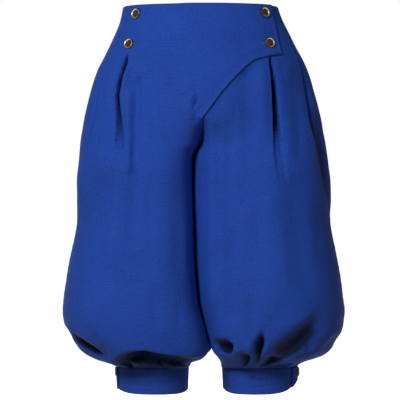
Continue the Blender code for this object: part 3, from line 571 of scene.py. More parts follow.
# %% Gathers
GATHER_COLUMNS = ("leg", "angle", "swing", "start", "full", "end", "width", "depth", "at_cuff", "skew")
GATHERS = (
    ("right", 15.0, 42.0, 518.0, 545.0, 582.0, 13.5, 36.0, 0.05, 0.6),
    ("right", 34.0, 6.0, 520.0, 546.0, 570.0, 5.0, 6.0, 0.0, 0.0),
    ("right", 50.0, 2.0, 564.0, 580.0, 593.7, 10.0, -7.0, 0.0, 0.0),
    ("right", 80.0, -4.0, 572.0, 584.0, 593.7, 13.0, -7.0, 0.0, 0.0),
    ("right", 112.0, -2.0, 568.0, 582.0, 593.7, 2.6, 6.0, 0.10, 0.0),
    ("right", 121.0, -2.0, 566.0, 580.0, 593.7, 2.4, -3.0, 0.10, 0.0),
    ("right", 129.0, -1.0, 562.0, 580.0, 593.7, 2.6, 6.0, 0.10, 0.0),
    ("right", 143.0, 1.0, 545.0, 572.0, 593.7, 4.0, 11.0, 0.08, 0.0),
    ("right", 160.0, 0.0, 548.0, 574.0, 593.7, 5.0, 8.0, 0.08, 0.0),
    ("right", -14.0, -3.0, 532.0, 569.0, 593.7, 4.6, 12.0, 0.07, 0.0),
    ("right", -27.0, 0.0, 556.0, 577.0, 593.7, 3.2, 8.0, 0.07, 0.0),
    ("right", -41.0, 2.0, 514.0, 564.0, 593.7, 5.6, 17.0, 0.07, 0.0),
    ("right", -52.0, 2.0, 560.0, 580.0, 593.7, 6.0, -5.0, 0.0, 0.0),
    ("right", -63.0, 0.0, 538.0, 571.0, 593.7, 4.4, 12.0, 0.07, 0.0),
    ("right", -76.0, 0.0, 558.0, 579.0, 593.7, 3.2, 8.0, 0.07, 0.0),
    ("right", -88.0, 2.0, 518.0, 565.0, 593.7, 5.4, 16.0, 0.07, 0.0),
    ("right", -98.0, 2.0, 560.0, 580.0, 593.7, 6.0, -5.0, 0.0, 0.0),
    ("right", -109.0, 0.0, 540.0, 572.0, 593.7, 4.2, 12.0, 0.07, 0.0),
    ("right", -130.0, -2.0, 522.0, 566.0, 593.7, 5.4, 15.0, 0.07, 0.0),
    ("right", -153.0, 0.0, 541.0, 572.0, 593.7, 4.6, 10.0, 0.07, 0.0),
    ("left", 3.0, 0.0, 538.0, 547.0, 558.0, 5.0, 6.0, 0.0, 0.0),
    ("left", 17.0, 4.0, 552.0, 572.0, 593.7, 4.2, 10.0, 0.07, 0.0),
    ("left", 54.0, 30.0, 486.0, 552.0, 593.7, 16.5, 20.5, 0.05, 0.15),
    ("left", 66.0, 8.0, 562.0, 580.0, 593.7, 6.0, -5.0, 0.0, 0.0),
    ("left", 90.0, 0.0, 566.0, 574.0, 593.7, 7.0, 27.0, 0.30, 0.0),
    ("left", 102.5, 4.0, 527.0, 551.0, 593.7, 3.3, 27.0, 0.05, -0.15),
    ("left", 97.0, -2.0, 540.0, 562.0, 593.7, 4.0, -2.5, 0.05, 0.0),
    ("left", 112.0, -2.0, 540.0, 562.0, 593.7, 3.6, -3.0, 0.05, 0.0),
    ("left", 118.0, 0.0, 562.0, 571.0, 593.7, 4.2, 28.0, 0.30, 0.0),
    ("left", 125.0, -1.0, 540.0, 560.0, 593.7, 4.0, -5.0, 0.0, 0.0),
    ("left", 132.0, 0.0, 539.0, 554.0, 573.0, 10.5, 30.0, 0.10, -0.45),
    ("left", 165.0, 0.0, 545.0, 573.0, 593.7, 5.0, 7.0, 0.08, 0.0),
    ("left", -12.0, 2.0, 534.0, 570.0, 593.7, 4.6, 12.0, 0.07, 0.0),
    ("left", -24.0, 0.0, 556.0, 578.0, 593.7, 3.2, 8.0, 0.07, 0.0),
    ("left", -36.0, -2.0, 512.0, 564.0, 593.7, 5.6, 17.0, 0.07, 0.0),
    ("left", -47.0, 2.0, 560.0, 580.0, 593.7, 6.0, -5.0, 0.0, 0.0),
    ("left", -58.0, 2.0, 539.0, 571.0, 593.7, 4.4, 12.0, 0.07, 0.0),
    ("left", -81.0, 0.0, 520.0, 566.0, 593.7, 5.4, 15.5, 0.07, 0.0),
    ("left", -94.0, 0.0, 558.0, 579.0, 593.7, 3.2, 8.0, 0.07, 0.0),
    ("left", -105.0, -2.0, 541.0, 571.0, 593.7, 4.4, 12.0, 0.07, 0.0),
    ("left", -116.0, 2.0, 560.0, 580.0, 593.7, 6.0, -5.0, 0.0, 0.0),
    ("left", -127.0, 2.0, 516.0, 564.0, 593.7, 5.6, 16.0, 0.07, 0.0),
    ("left", -150.0, 0.0, 539.0, 572.0, 593.7, 4.6, 10.0, 0.07, 0.0),
)
print(len(GATHERS), "gathers")

# %% Where a leg hangs over its cuff
# Round the leg: the drop at which the cloth turns under, how far in it goes behind that edge,
# and how far the edge itself sags below the smooth form.
BELLY_COLUMNS = ("degrees", "edge", "depth", "sag")
BELLIES = {
    "right": (
        (-180.0, 590.0, 0.0, 0.0),
        (-150.0, 575.0, 10.0, 2.0),
        (-118.0, 566.0, 24.0, 5.0),
        (-92.0, 569.0, 22.0, 4.0),
        (-60.0, 572.0, 12.0, 2.0),
        (-30.0, 585.0, 0.0, 0.0),
        (36.0, 590.0, 0.0, 0.0),
        (46.0, 586.0, 8.0, 1.0),
        (58.0, 577.0, 28.0, 3.5),
        (74.0, 559.0, 44.0, 6.5),
        (92.0, 552.0, 48.0, 8.0),
        (104.0, 557.0, 46.0, 7.5),
        (130.0, 566.0, 36.0, 5.7),
        (150.0, 577.0, 18.0, 3.0),
        (165.0, 587.0, 4.0, 1.0),
        (180.0, 590.0, 0.0, 0.0),
    ),
    "left": (
        (-180.0, 590.0, 0.0, 0.0),
        (-140.0, 574.0, 12.0, 2.0),
        (-104.0, 568.0, 20.0, 4.0),
        (-74.0, 564.0, 24.0, 5.0),
        (-44.0, 574.0, 10.0, 2.0),
        (-20.0, 586.0, 0.0, 0.0),
        (40.0, 590.0, 0.0, 0.0),
        (50.0, 581.0, 8.0, 2.0),
        (64.0, 578.0, 10.0, 2.5),
        (78.0, 581.0, 5.0, 1.0),
        (90.0, 590.0, 0.0, 0.0),
        (180.0, 590.0, 0.0, 0.0),
    ),
}
GATHER_POINT = 0.45
BELLY_TURN = 5.5
BELLY_LEVEL = 10.0
SAG_ABOVE = 10.0
SAG_BELOW = 4.0
BELLY_CURVES = {
    side: {name: smooth_between(rows, BELLY_COLUMNS, name) for name in BELLY_COLUMNS[1:]}
    for side, rows in BELLIES.items()
}
deepest = {side: float(max(column(rows, BELLY_COLUMNS, "depth"))) for side, rows in BELLIES.items()}
print("cloth turns under above the cuffs by up to, in mm:", deepest)

# %% How far the cloth is drawn in
RIPPLE_STARTS = 574.0
RIPPLE_FULL = 588.0
RIPPLE_HEIGHT = 0.55
RIPPLE_SETTLES = 0.5
# Each ripple has a height, a number round the leg, and a sway that keeps it from being regular.
RIPPLES = ((1.0, 23.0, 1.7, 4.0), (0.6, 37.0, 2.0, 3.0))


def degrees_round(side, v):
    """How far round the leg each share is: 0 at the outer side, over zero in front, below behind."""
    return TURN_CURVES[side]["leg"](np.abs(v)) * np.where(v >= 0.0, 1.0, -1.0)


def sagged(side, v, drop):
    """How far the overhanging edge sags, in mm."""
    degrees = degrees_round(side, v)
    curves = BELLY_CURVES[side]
    past = drop - curves["edge"](degrees)
    return curves["sag"](degrees) * np.exp(-((past / np.where(past < 0.0, SAG_ABOVE, SAG_BELOW)) ** 2))


def gathered(side, v, drop):
    """How far the gathers above a cuff draw the cloth in towards the middle of the leg, in mm."""
    v = np.asarray(v, dtype=float)
    drop = np.asarray(drop, dtype=float) + 0.0 * v
    degrees = degrees_round(side, v)
    curves = BELLY_CURVES[side]
    past = drop - curves["edge"](degrees)
    drawn = curves["depth"](degrees) * ease(0.0, BELLY_TURN, past)
    left = np.clip((CLOTH_END - drop) / (CLOTH_END - BELLY_LEVEL - curves["edge"](degrees)), 0.0, 1.0)
    drawn = drawn * ease(0.0, 1.0, left)
    for gather in named(GATHERS, GATHER_COLUMNS):
        if gather["leg"] == side:
            grown = ease(gather["start"], gather["full"], drop)
            left = 1.0 - (1.0 - gather["at_cuff"]) * ease(gather["full"], gather["end"], drop)
            middle = gather["angle"] + gather["swing"] * ease(gather["start"], CLOTH_END, drop)
            beside = degrees - middle
            width = gather["width"] * (GATHER_POINT + (1.0 - GATHER_POINT) * grown)
            near = beside / (width * (1.0 - gather["skew"] * np.sign(beside)))
            drawn = drawn + gather["depth"] * grown * left * np.exp(-near * near)
    turn = np.radians(degrees)
    wave = sum(tall * np.sin(many * turn + sway * np.sin(slow * turn)) for tall, many, sway, slow in RIPPLES)
    wave = RIPPLE_HEIGHT * wave * ease(RIPPLE_STARTS, RIPPLE_FULL, drop)
    drawn = drawn + wave * (1.0 - RIPPLE_SETTLES * ease(RIPPLE_FULL, CLOTH_END, drop))
    across = base(side, v, drop)[..., 0] - BODY[side + "_inner"](drop)
    return drawn * ease(0.0, MIDDLE_FADE, across * LEG_SIDES[side]["sign"])


# Only the painted shade below an overhanging edge reads this depth.
def overhung(side, v, drop):
    """How far the cloth lies behind the overhanging edge above it, in mm."""
    curves = BELLY_CURVES[side]
    degrees = degrees_round(side, v)
    return curves["depth"](degrees) * ease(0.0, BELLY_TURN, drop - curves["edge"](degrees))


def towards_middle(side, v, drop):
    """The level direction from the cloth to the middle of its leg."""
    point = base(side, v, drop)
    point[..., 0] -= (BODY[side + "_outer"](drop) + BODY[side + "_inner"](drop)) / 2.0
    point[..., 2] = 0.0
    return -point / np.linalg.norm(point, axis=-1, keepdims=True)


# %% [markdown]
# ## Cloth panels
# Each panel is cut to its own outline and sewn to its neighbours, so each is its own thin
# closed wall here too. A grid of points follows the form between the panel's two edges, the
# folds move it in and out, and a second grid inside gives it thickness. The cloth rolls in a
# little at each seam, which is why a seam shows as a fine groove. At the middle front and the
# middle back the two edges turn the same way above the crotch, so that they stay together. Each
# point also keeps how deep in a fold it lies, and its colour is painted darker there: painted shade.

# %% Rows and columns of the panels
BAND_COLUMNS = ("band", "start", "end", "front_steps", "back_steps")
BANDS = (
    ("waist_turn", 0.0, 5.0, 10, 8),
    ("waist", 5.0, 82.2, 26, 18),
    ("flap_corner", 82.2, 94.0, 24, 5),
    ("flap_curve", 94.0, 104.0, 8, 5),
    ("rise", 104.0, 188.0, 32, 26),
    ("fork", 188.0, 275.0, 38, 32),
    ("leg", 275.0, 500.0, 70, 58),
    ("belly", 500.0, 556.0, 26, 24),
    ("gathers", 556.0, CLOTH_END, 40, 34),
)
FRONT_STEPS_OUTSIDE = 44
FRONT_STEPS_INSIDE = 84
BACK_STEPS = 92
EDGE_COLUMNS = (0.3, 0.7, 1.2, 1.8, 2.5, 3.2, 3.9)
EDGE_WHOLE = 4.7
BODY_MEASURE = 150.0
LEG_MEASURE = 330.0
FLAP_WEIGHT = 2.2
TUCK_CROWDING = 1.3
CROWD_GROWS = (40.0, 84.0)
CROWD_FADES = (230.0, 400.0)
TUCK_LEFT_BEHIND = (300.0, 470.0)
FINE = 481
# How far round from the outer side the side seam is looked for, as shares ahead and behind.
SEAM_AHEAD = 0.6
SEAM_BEHIND = -0.1


def levels(steps_column):
    """Drops of the grid rows, in mm."""
    drops = [0.0]
    for band in named(BANDS, BAND_COLUMNS):
        step = (band["end"] - band["start"]) / band[steps_column]
        drops.extend(band["start"] + step * (i + 1) for i in range(band[steps_column]))
    return drops


def lengths(side, v, drop):
    """Length along the section at each share, from the first."""
    points = base(side, v, drop)
    return np.concatenate([[0.0], np.cumsum(np.linalg.norm(np.diff(points, axis=0), axis=1))])


def share_where(side, drop, across):
    """The share of the way to the middle front at which the form is this far across, at one level."""
    v = np.linspace(1.0, 0.0, FINE)
    reach = base(side, v, drop)[:, 0] * LEG_SIDES[side]["sign"]
    return float(np.interp(across, reach, v))


def with_edges(own):
    """The lengths of one row's columns, with close ones added beside both of its edges."""
    whole = own[-1] - own[0]
    inside = own[0] + EDGE_WHOLE + (own - own[0]) * (whole - 2.0 * EDGE_WHOLE) / whole
    near = np.array(EDGE_COLUMNS)
    return np.concatenate([[own[0]], own[0] + near, inside, own[-1] - near[::-1], [own[-1]]])


def front_places(side, drop):
    """Where the columns of a front lie at one level. Values over 1 are past the middle, on the flap."""
    v = np.linspace(0.0, 1.0, FINE)
    run = lengths(side, v, drop)
    even = lengths(side, v, BODY_MEASURE) + lengths(side, v, LEG_MEASURE)
    parted = float(ease(FORK_FRONT, CROTCH, drop))
    first = float(np.interp(float(BODY["seam"](drop)) + SEAM_GAP / 2.0, run, v))
    last = float(np.interp(run[-1] - parted * SEAM_GAP / 2.0, run, v))
    if side == "right" and drop < FLAP_ROWS[-1][0]:
        down = column(FLAP_ROWS, FLAP_COLUMNS, "drop")
        edge = np.interp(drop, down, column(FLAP_ROWS, FLAP_COLUMNS, "across"))
        far = np.linspace(1.0, share_where("left", drop, edge), FINE)
        beyond = lengths("left", far, drop)[1:]
        even = np.concatenate([even, even[-1] + FLAP_WEIGHT * beyond])
        run = np.concatenate([run, run[-1] + beyond])
        v = np.concatenate([v, 2.0 - far[1:]])
        last = v[-1]
    tuck_share = share_where(side, drop, TUCK_CURVES[side]["across"](drop))
    first, last, tuck = np.interp((first, last, tuck_share), v, even)
    middle = first + (last - first) * FRONT_STEPS_OUTSIDE / (FRONT_STEPS_OUTSIDE + FRONT_STEPS_INSIDE)
    tuck = tuck + float(ease(*TUCK_LEFT_BEHIND, drop)) * (middle - tuck)
    near_tuck = float(ease(*CROWD_GROWS, drop)) * (1.0 - float(ease(*CROWD_FADES, drop)))
    crowd = 1.0 + (TUCK_CROWDING - 1.0) * near_tuck
    outside = 1.0 - (np.arange(FRONT_STEPS_OUTSIDE + 1) / FRONT_STEPS_OUTSIDE)
    inside = (np.arange(FRONT_STEPS_INSIDE) + 1.0) / FRONT_STEPS_INSIDE
    along = np.concatenate([tuck - (tuck - first) * outside**crowd, tuck + (last - tuck) * inside**crowd])
    return np.interp(with_edges(np.interp(along, even, run)), run, v)


def back_places(side, drop):
    """Where the columns of a back lie at one level, from the side seam round to the middle back."""
    forward = np.linspace(0.0, SEAM_AHEAD, FINE)
    behind = np.linspace(0.0, SEAM_BEHIND, FINE)
    seam = float(BODY["seam"](drop)) - SEAM_GAP / 2.0
    start = np.interp(seam, lengths(side, forward, drop), forward)
    if seam < 0.0:
        start = np.interp(-seam, lengths(side, behind, drop), behind)
    v = np.linspace(float(start), -1.0, FINE)
    run = lengths(side, v, drop)
    even = lengths(side, v, BODY_MEASURE) + lengths(side, v, LEG_MEASURE)
    parted = float(ease(FORK_BACK, CROTCH, drop))
    last = np.interp(run[-1] - parted * SEAM_GAP / 2.0, run, even)
    along = np.linspace(0.0, last, BACK_STEPS + 1)
    return np.interp(with_edges(np.interp(along, even, run)), run, v)


# %% A thin wall from two grids
CLOTH = 1.6
MOST_THICKENING = 1.7
LEAST_RUN = 0.2
SHARP_OVER = 62.0


def thickened(points, height):
    """Wall thickness along the outward direction, more on steep folds, so that the cloth stays as thick."""
    steep = np.zeros_like(height)
    for axis in (0, 1):
        run = np.linalg.norm(np.diff(points, axis=axis), axis=2)
        slope = np.abs(np.diff(height, axis=axis)) / np.maximum(run, LEAST_RUN)
        pad = [(0, 0), (0, 0)]
        pad[axis] = (0, 1)
        steep = np.maximum(steep, np.pad(slope, pad))
        pad[axis] = (1, 0)
        steep = np.maximum(steep, np.pad(slope, pad))
    return CLOTH * np.minimum(np.sqrt(1.0 + steep * steep), MOST_THICKENING)


def flat_places(grid, grain):
    """Where each point lies on the cloth as it was cut, in metres, from a straight line of its weave."""
    along = np.linalg.norm(np.diff(grid, axis=1), axis=2)
    u = np.concatenate([np.zeros((len(grid), 1)), np.cumsum(along, axis=1)], axis=1)
    u = u - u[:, grain : grain + 1]
    down = np.linalg.norm(np.diff(grid[:, grain], axis=0), axis=1)
    v = np.concatenate([[0.0], np.cumsum(down)])[:, None] + 0.0 * u
    return np.stack([u, -v], axis=-1) * MM


def wall_between(name, outer, inner, painted_shading, grain=0):
    """One closed thin wall between two grids of points in mm, with a rim all round."""
    rows, cols = outer.shape[:2]
    count = rows * cols
    points = np.concatenate([outer.reshape(-1, 3), inner.reshape(-1, 3)]) * MM
    points[:, 2] += ORIGIN_DROP * MM
    at = np.arange(count).reshape(rows, cols)
    a, b, c, d = at[:-1, :-1], at[1:, :-1], at[1:, 1:], at[:-1, 1:]
    faces = [np.stack([a, b, c, d], -1).reshape(-1, 4), np.stack([a, d, c, b], -1).reshape(-1, 4) + count]
    for edge, turn in ((at[0], 1), (at[-1], -1), (at[:, 0], -1), (at[:, -1], 1)):
        p, q = (edge[:-1], edge[1:])[::turn]
        faces.append(np.stack([p, q, q + count, p + count], -1))
    faces = np.concatenate(faces)
    p, q, r, s = (points[faces[:, i]] for i in range(4))
    volume = np.einsum("ij,ij->", p, np.cross(q, r)) + np.einsum("ij,ij->", p, np.cross(r, s))
    if volume < 0.0:
        faces = faces[:, ::-1]
    mesh = bpy.data.meshes.new(name)
    mesh.from_pydata(points.tolist(), [], faces.tolist())
    mesh.polygons.foreach_set("use_smooth", [True] * len(mesh.polygons))
    flat = flat_places(outer, grain).reshape(-1, 2)
    corners = np.empty(len(mesh.loops), dtype=np.int32)
    mesh.loops.foreach_get("vertex_index", corners)
    layer = mesh.uv_layers.new(name="cut")
    layer.data.foreach_set("uv", flat[corners % count].ravel())
    # Each point keeps how much painted shade its colour gets.
    held = mesh.attributes.new("painted_shading", "FLOAT", "POINT")
    held.data.foreach_set("value", np.tile(painted_shading.ravel(), 2))
    mesh.set_sharp_from_angle(angle=math.radians(SHARP_OVER))
    thing = bpy.data.objects.new(name, mesh)
    bpy.context.collection.objects.link(thing)
    return thing


# %% Panels on the form
FLAP_GAP = 0.8
LIFT_FROM = 46.0
LIFT_WHOLE = 14.0
LIFT_FADE_FROM = 200.0
LIFT_FADE_TO = 234.0
SEAM_ROLL = 0.95
SEAM_ROLL_WIDTH = 1.5
ROLL_ENDS = (196.0, 222.0)
JOIN_WIDTH = 2.2
JOIN_ENDS = (266.0, 275.0)
SEAM_WELT = 0.9
SEAM_WELT_AT = 3.2
SEAM_WELT_WIDTH = 2.0
PUCKER = 0.28
PUCKER_REACH = 6.0
PUCKER_STEP = 2.1
PUCKER_SWAY = 1.5
PUCKER_SWAY_STEP = 11.0
PUCKER_CLEAR = 3.0
MIDDLE_CALM = 12.0
TURNED_EDGE = ((1.7, 1.2, 0.40), (3.5, 0.5, -0.30), (0.0, 0.6, -0.7))
GRAIN = FRONT_STEPS_OUTSIDE + len(EDGE_COLUMNS) + 1
# Painted shade: a share of the depth behind an overhanging edge, then how a depth in mm turns into painted
# shade.
OVERHANG_SHADE_SHARE = 0.3
PAINTED_SHADE_POWER = 2.0
PAINTED_SHADE_SHARE = 0.0764
GATHERS_TURN = (528.0, 548.0)
EDGE_KEEPS = (1.0, 7.0)
CUFF_KEEPS = (588.0, 593.0)
FLAP_CURL = 0.9
FLAP_CURL_WIDTH = 7.0
FLAP_CURL_FROM = (60.0, 84.0)
FLAP_PATH = [(across, drop) for drop, across in FLAP_ROWS]
FAR_OFF = -1000.0


def on_form(side, v, drop, use):
    """A function of side, share and drop, where a share over 1 is past the middle front."""
    own = v <= 1.0
    found = None
    for mask, leg, share in ((own, side, v), (~own, "left", 2.0 - v)):
        if mask.any():
            values = use(leg, share[mask], drop[mask])
            if found is None:
                found = np.zeros(v.shape + values.shape[1:])
            found[mask] = values
    return found


def turned_edge(away):
    """The profile of a turned and stitched edge, against the distance from it, in mm."""
    return sum(tall * np.exp(-(((away - at) / width) ** 2)) for at, width, tall in TURNED_EDGE)


def lift_share(side, v, drop):
    """How much of its full lift the right front has, to lie over the left front."""
    across = base(side, v, drop)[..., 0]
    if side == "left":
        return np.ones_like(across)
    return ease(-LIFT_FROM, -LIFT_WHOLE, across) * (1.0 - ease(LIFT_FADE_FROM, LIFT_FADE_TO, drop))


def grid_facing(grid):
    """The direction square to a grid of points at each of them."""
    way = np.cross(np.gradient(grid, axis=1), np.gradient(grid, axis=0))
    return way / np.maximum(np.linalg.norm(way, axis=-1, keepdims=True), 1e-9)


# %% The edges of a panel
def edge_runs(points):
    """How far each point is from its panel's first and last column, along the cloth in mm."""
    along = np.linalg.norm(np.diff(points, axis=1), axis=2)
    from_first = np.concatenate([np.zeros((len(points), 1)), np.cumsum(along, axis=1)], axis=1)
    return from_first, from_first[:, -1:] - from_first


def beside_seams(height, drop, edges):
    """The heights with the roll and the puckers at each sewn edge taken off, in mm."""
    for away, sewn, share in edges:
        roll = SEAM_ROLL * share * np.exp(-((away / SEAM_ROLL_WIDTH) ** 2))
        waves = np.sin(drop / PUCKER_STEP + PUCKER_SWAY * np.sin(drop / PUCKER_SWAY_STEP))
        pucker = PUCKER * np.exp(-away / PUCKER_REACH) * waves
        height = height - np.where(sewn, roll + pucker * ease(0.0, PUCKER_CLEAR, away), 0.0)
    return height


def flap_over(points, height, v, drop, raised):
    """The right front raised over the left one, with the flap's turned and curled edge, in mm."""
    low = drop > FORK_FRONT
    points[..., 1] -= np.where(low, raised, 0.0)
    height = height + np.where(low, 0.0, raised)
    past = v > 1.0
    edge = beside_path(np.where(past, points[..., 0], FAR_OFF), drop, FLAP_PATH)[0]
    height = height + np.where(past, turned_edge(edge), 0.0)
    curl = FLAP_CURL * np.exp(-((edge / FLAP_CURL_WIDTH) ** 2)) * ease(*FLAP_CURL_FROM, drop)
    height = height + np.where(past, curl, 0.0)
    for pucker in named(FLAP_PUCKERS, PUCKER_COLUMNS):
        away, place = beside_path(points[..., 0], drop, crease_path(pucker))
        fade = np.sin(math.pi * place)
        height = height + pucker["height"] * fade * np.exp(-((away / pucker["width"]) ** 2))
    return points, height


# %% A whole panel
def inner_side(outer, ways, thick, turned):
    """The inner face: straight in from the outer one, and square to the cloth where it is gathered."""
    facing = grid_facing(outer)
    facing *= np.sign(np.sum(facing * ways, axis=-1).mean())
    turned = turned[..., None]
    return outer - (ways * thick[..., None] * (1.0 - turned) + facing * CLOTH * turned)


def painted_shade_amount(side, v, drop, drawn):
    """How much painted shade each point gets: more the deeper it lies in a fold, gather, overhang or tuck.
    """
    shaded = np.maximum(drawn, OVERHANG_SHADE_SHARE * on_form(side, v, drop, overhung))
    shaded = np.maximum(shaded, 0.0) + on_form(side, v, drop, slit_painted_shade)
    return shaded**PAINTED_SHADE_POWER * PAINTED_SHADE_SHARE


def cloth_panel(name, side, places_at, steps_column, flap=False):
    """A panel from its rows of places, with its folds, its edges and its thickness."""
    drops = levels(steps_column)
    v = np.array([places_at(side, drop) for drop in drops])
    drop = np.array(drops)[:, None] + 0.0 * v
    points = on_form(side, v, drop, base)
    ways = on_form(side, v, drop, outward)
    folds = on_form(side, v, drop, relief)
    drawn = on_form(side, v, drop, gathered)
    inwards = on_form(side, v, drop, towards_middle)
    height = folds + uneven(points[..., 0], drop) * ease(0.0, MIDDLE_CALM, np.abs(points[..., 0]))

    from_first, from_last = edge_runs(points)
    free = (drop < FLAP_ROWS[-1][0]) if flap else np.zeros(v.shape, dtype=bool)
    hidden = (drop < FLAP_ROWS[-1][0]) if name == "front_left" else np.zeros(v.shape, dtype=bool)
    # The two legs' edges turn the same way where they are sewn together above the crotch.
    joined = np.exp(-((from_last / JOIN_WIDTH) ** 2)) * (1.0 - ease(*JOIN_ENDS, drop)) * ~free
    straight = np.array([0.0, -1.0 if places_at is front_places else 1.0, 0.0])
    ways = ways + joined[..., None] * (straight - ways)
    ways /= np.linalg.norm(ways, axis=-1, keepdims=True)
    apart = 1.0 - ease(*ROLL_ENDS, drop)
    edges = ((from_first, True, 1.0), (from_last, ~free & ~hidden, apart))
    height = beside_seams(height, drop, edges)
    if places_at is front_places:
        height = height + SEAM_WELT * np.exp(-(((from_first - SEAM_WELT_AT) / SEAM_WELT_WIDTH) ** 2))
    height = height + turned_edge(drop)

    thick = thickened(points, height - drawn)
    points = points + inwards * drawn[..., None]
    if flap:
        raised = (FLAP_GAP + thick) * on_form(side, v, drop, lift_share)
        points, height = flap_over(points, height, v, drop, raised)
    outer = points + ways * height[..., None]
    outer[..., 2] -= on_form(side, v, drop, sagged)
    turned = ease(*GATHERS_TURN, drop) * ease(*EDGE_KEEPS, np.minimum(from_first, from_last))
    inner = inner_side(outer, ways, thick, turned * (1.0 - ease(*CUFF_KEEPS, drop)))
    # How much painted shade the cloth's colour gets at each point.
    painted_shading = painted_shade_amount(side, v, drop, drawn)
    grain = GRAIN if steps_column == "front_steps" else v.shape[1] // 2
    thing = wall_between(name, outer, inner, painted_shading, grain)
    print(name, "points", outer.shape[:2], "triangles", len(thing.data.polygons) * 2)
    return thing


# %% Make the four panels
panels = {
    "front_right": cloth_panel("cloth_front_right", "right", front_places, "front_steps", flap=True),
    "front_left": cloth_panel("cloth_front_left", "left", front_places, "front_steps"),
    "back_right": cloth_panel("cloth_back_right", "right", back_places, "back_steps"),
    "back_left": cloth_panel("cloth_back_left", "left", back_places, "back_steps"),
}

# %% [markdown]
# ## Cuffs
# Each cuff is a double band of the same cloth, wound once round the knee and lapped at the
# outer side under a button. The left one's hem is cut higher at the lap. Both are a little
# crumpled, because they were pressed flat and then worn round.

# %% Cuff bands
CUFF_TOP = 594.0
CUFF_HEM = 637.0
CUFF_CLOTH = 2.4
CUFF_ROUND = 2.1
CUFF_TAPER = 1.2
CUFF_COLUMNS = ("leg", "middle", "half_width", "half_depth", "hem_raise", "inner_raise", "lap")
CUFFS = (
    ("right", -79.2, 59.2, 57.9, 7.0, 5.0, 26.0),
    ("left", 96.75, 62.1, 57.9, 20.0, 7.0, 42.0),
)
CUFF_LAP_FROM = -8.0
CUFF_EASE_DEGREES = 70.0
CUFF_WHOLE_DEGREES = 2.0
HEM_RAISE_SPREAD = 40.0
INNER_RAISE_SPREAD = 30.0
CUFF_STEPS = 230
CUFF_ROWS = 44
CUFF_CROWDING = 0.35
CUFF_ROUND_OFF = 0.8
CUFF_TOP_ROUNDING = 0.8
CUFF_HEM_ROUNDING = 0.9
LAP_ROUND_OFF = 0.7
LAP_ROUNDING = 1.0
CUFF_UNEVEN = 0.22
CUFF_CREASE_ENDS = 0.7
CUFF_CREASE_COLUMNS = ("leg", "a0", "s0", "a1", "s1", "a2", "s2", "width", "height")
CUFF_CREASES = (
    ("right", 60.0, 8.0, 80.0, 11.0, 104.0, 7.0, 2.6, -1.5),
    ("right", 96.0, 20.0, 116.0, 23.0, 138.0, 18.0, 2.4, -1.1),
    ("right", 50.0, 30.0, 72.0, 33.0, 98.0, 30.0, 2.6, 0.9),
    ("right", 30.0, 4.0, 34.0, 16.0, 31.0, 28.0, 2.4, -0.5),
    ("left", 150.0, 1.0, 147.0, 20.0, 143.0, 42.0, 2.2, -1.7),
    ("left", 60.0, 14.0, 84.0, 19.0, 112.0, 13.0, 2.4, -1.4),
    ("left", 72.0, 27.0, 96.0, 31.0, 122.0, 28.0, 2.4, -1.1),
    ("left", 108.0, 7.0, 118.0, 12.0, 130.0, 10.0, 2.2, 1.0),
    ("left", 52.0, 3.0, 58.0, 12.0, 70.0, 18.0, 2.4, -1.2),
    ("right", 220.0, 12.0, 250.0, 17.0, 280.0, 13.0, 2.6, -0.7),
    ("left", 214.0, 16.0, 246.0, 20.0, 276.0, 14.0, 2.6, -0.7),
)
DEGREE_MM = 1.02
cuff_bands = {band["leg"]: band for band in named(CUFFS, CUFF_COLUMNS)}


def cuff_ring(band, degrees, out):
    """Points on a cuff's ring in mm, from the outer side through the front, moved out."""
    c, s = rounded(degrees, CUFF_ROUND)
    x = band["middle"] + LEG_SIDES[band["leg"]]["sign"] * (band["half_width"] + out) * c
    return x, -(band["half_depth"] + out) * s


def cuff_relief(band, degrees, below):
    """Creases and a slight unevenness of a cuff, in mm."""
    height = CUFF_UNEVEN * np.sin(degrees / 9.0 + below / 7.0) * np.sin(degrees / 23.0 + 1.0)
    for crease in named(CUFF_CREASES, CUFF_CREASE_COLUMNS):
        if crease["leg"] == band["leg"]:
            ends = {
                axis + n: crease[key + n] * scale
                for axis, key, scale in (("x", "a", DEGREE_MM), ("z", "s", 1.0))
                for n in "012"
            }
            away, place = beside_path(degrees * DEGREE_MM, below, crease_path(ends))
            fade = np.sin(math.pi * np.clip(place, 0.0, 1.0)) ** CUFF_CREASE_ENDS
            height = height + crease["height"] * fade * np.exp(-((away / crease["width"]) ** 2))
    return height


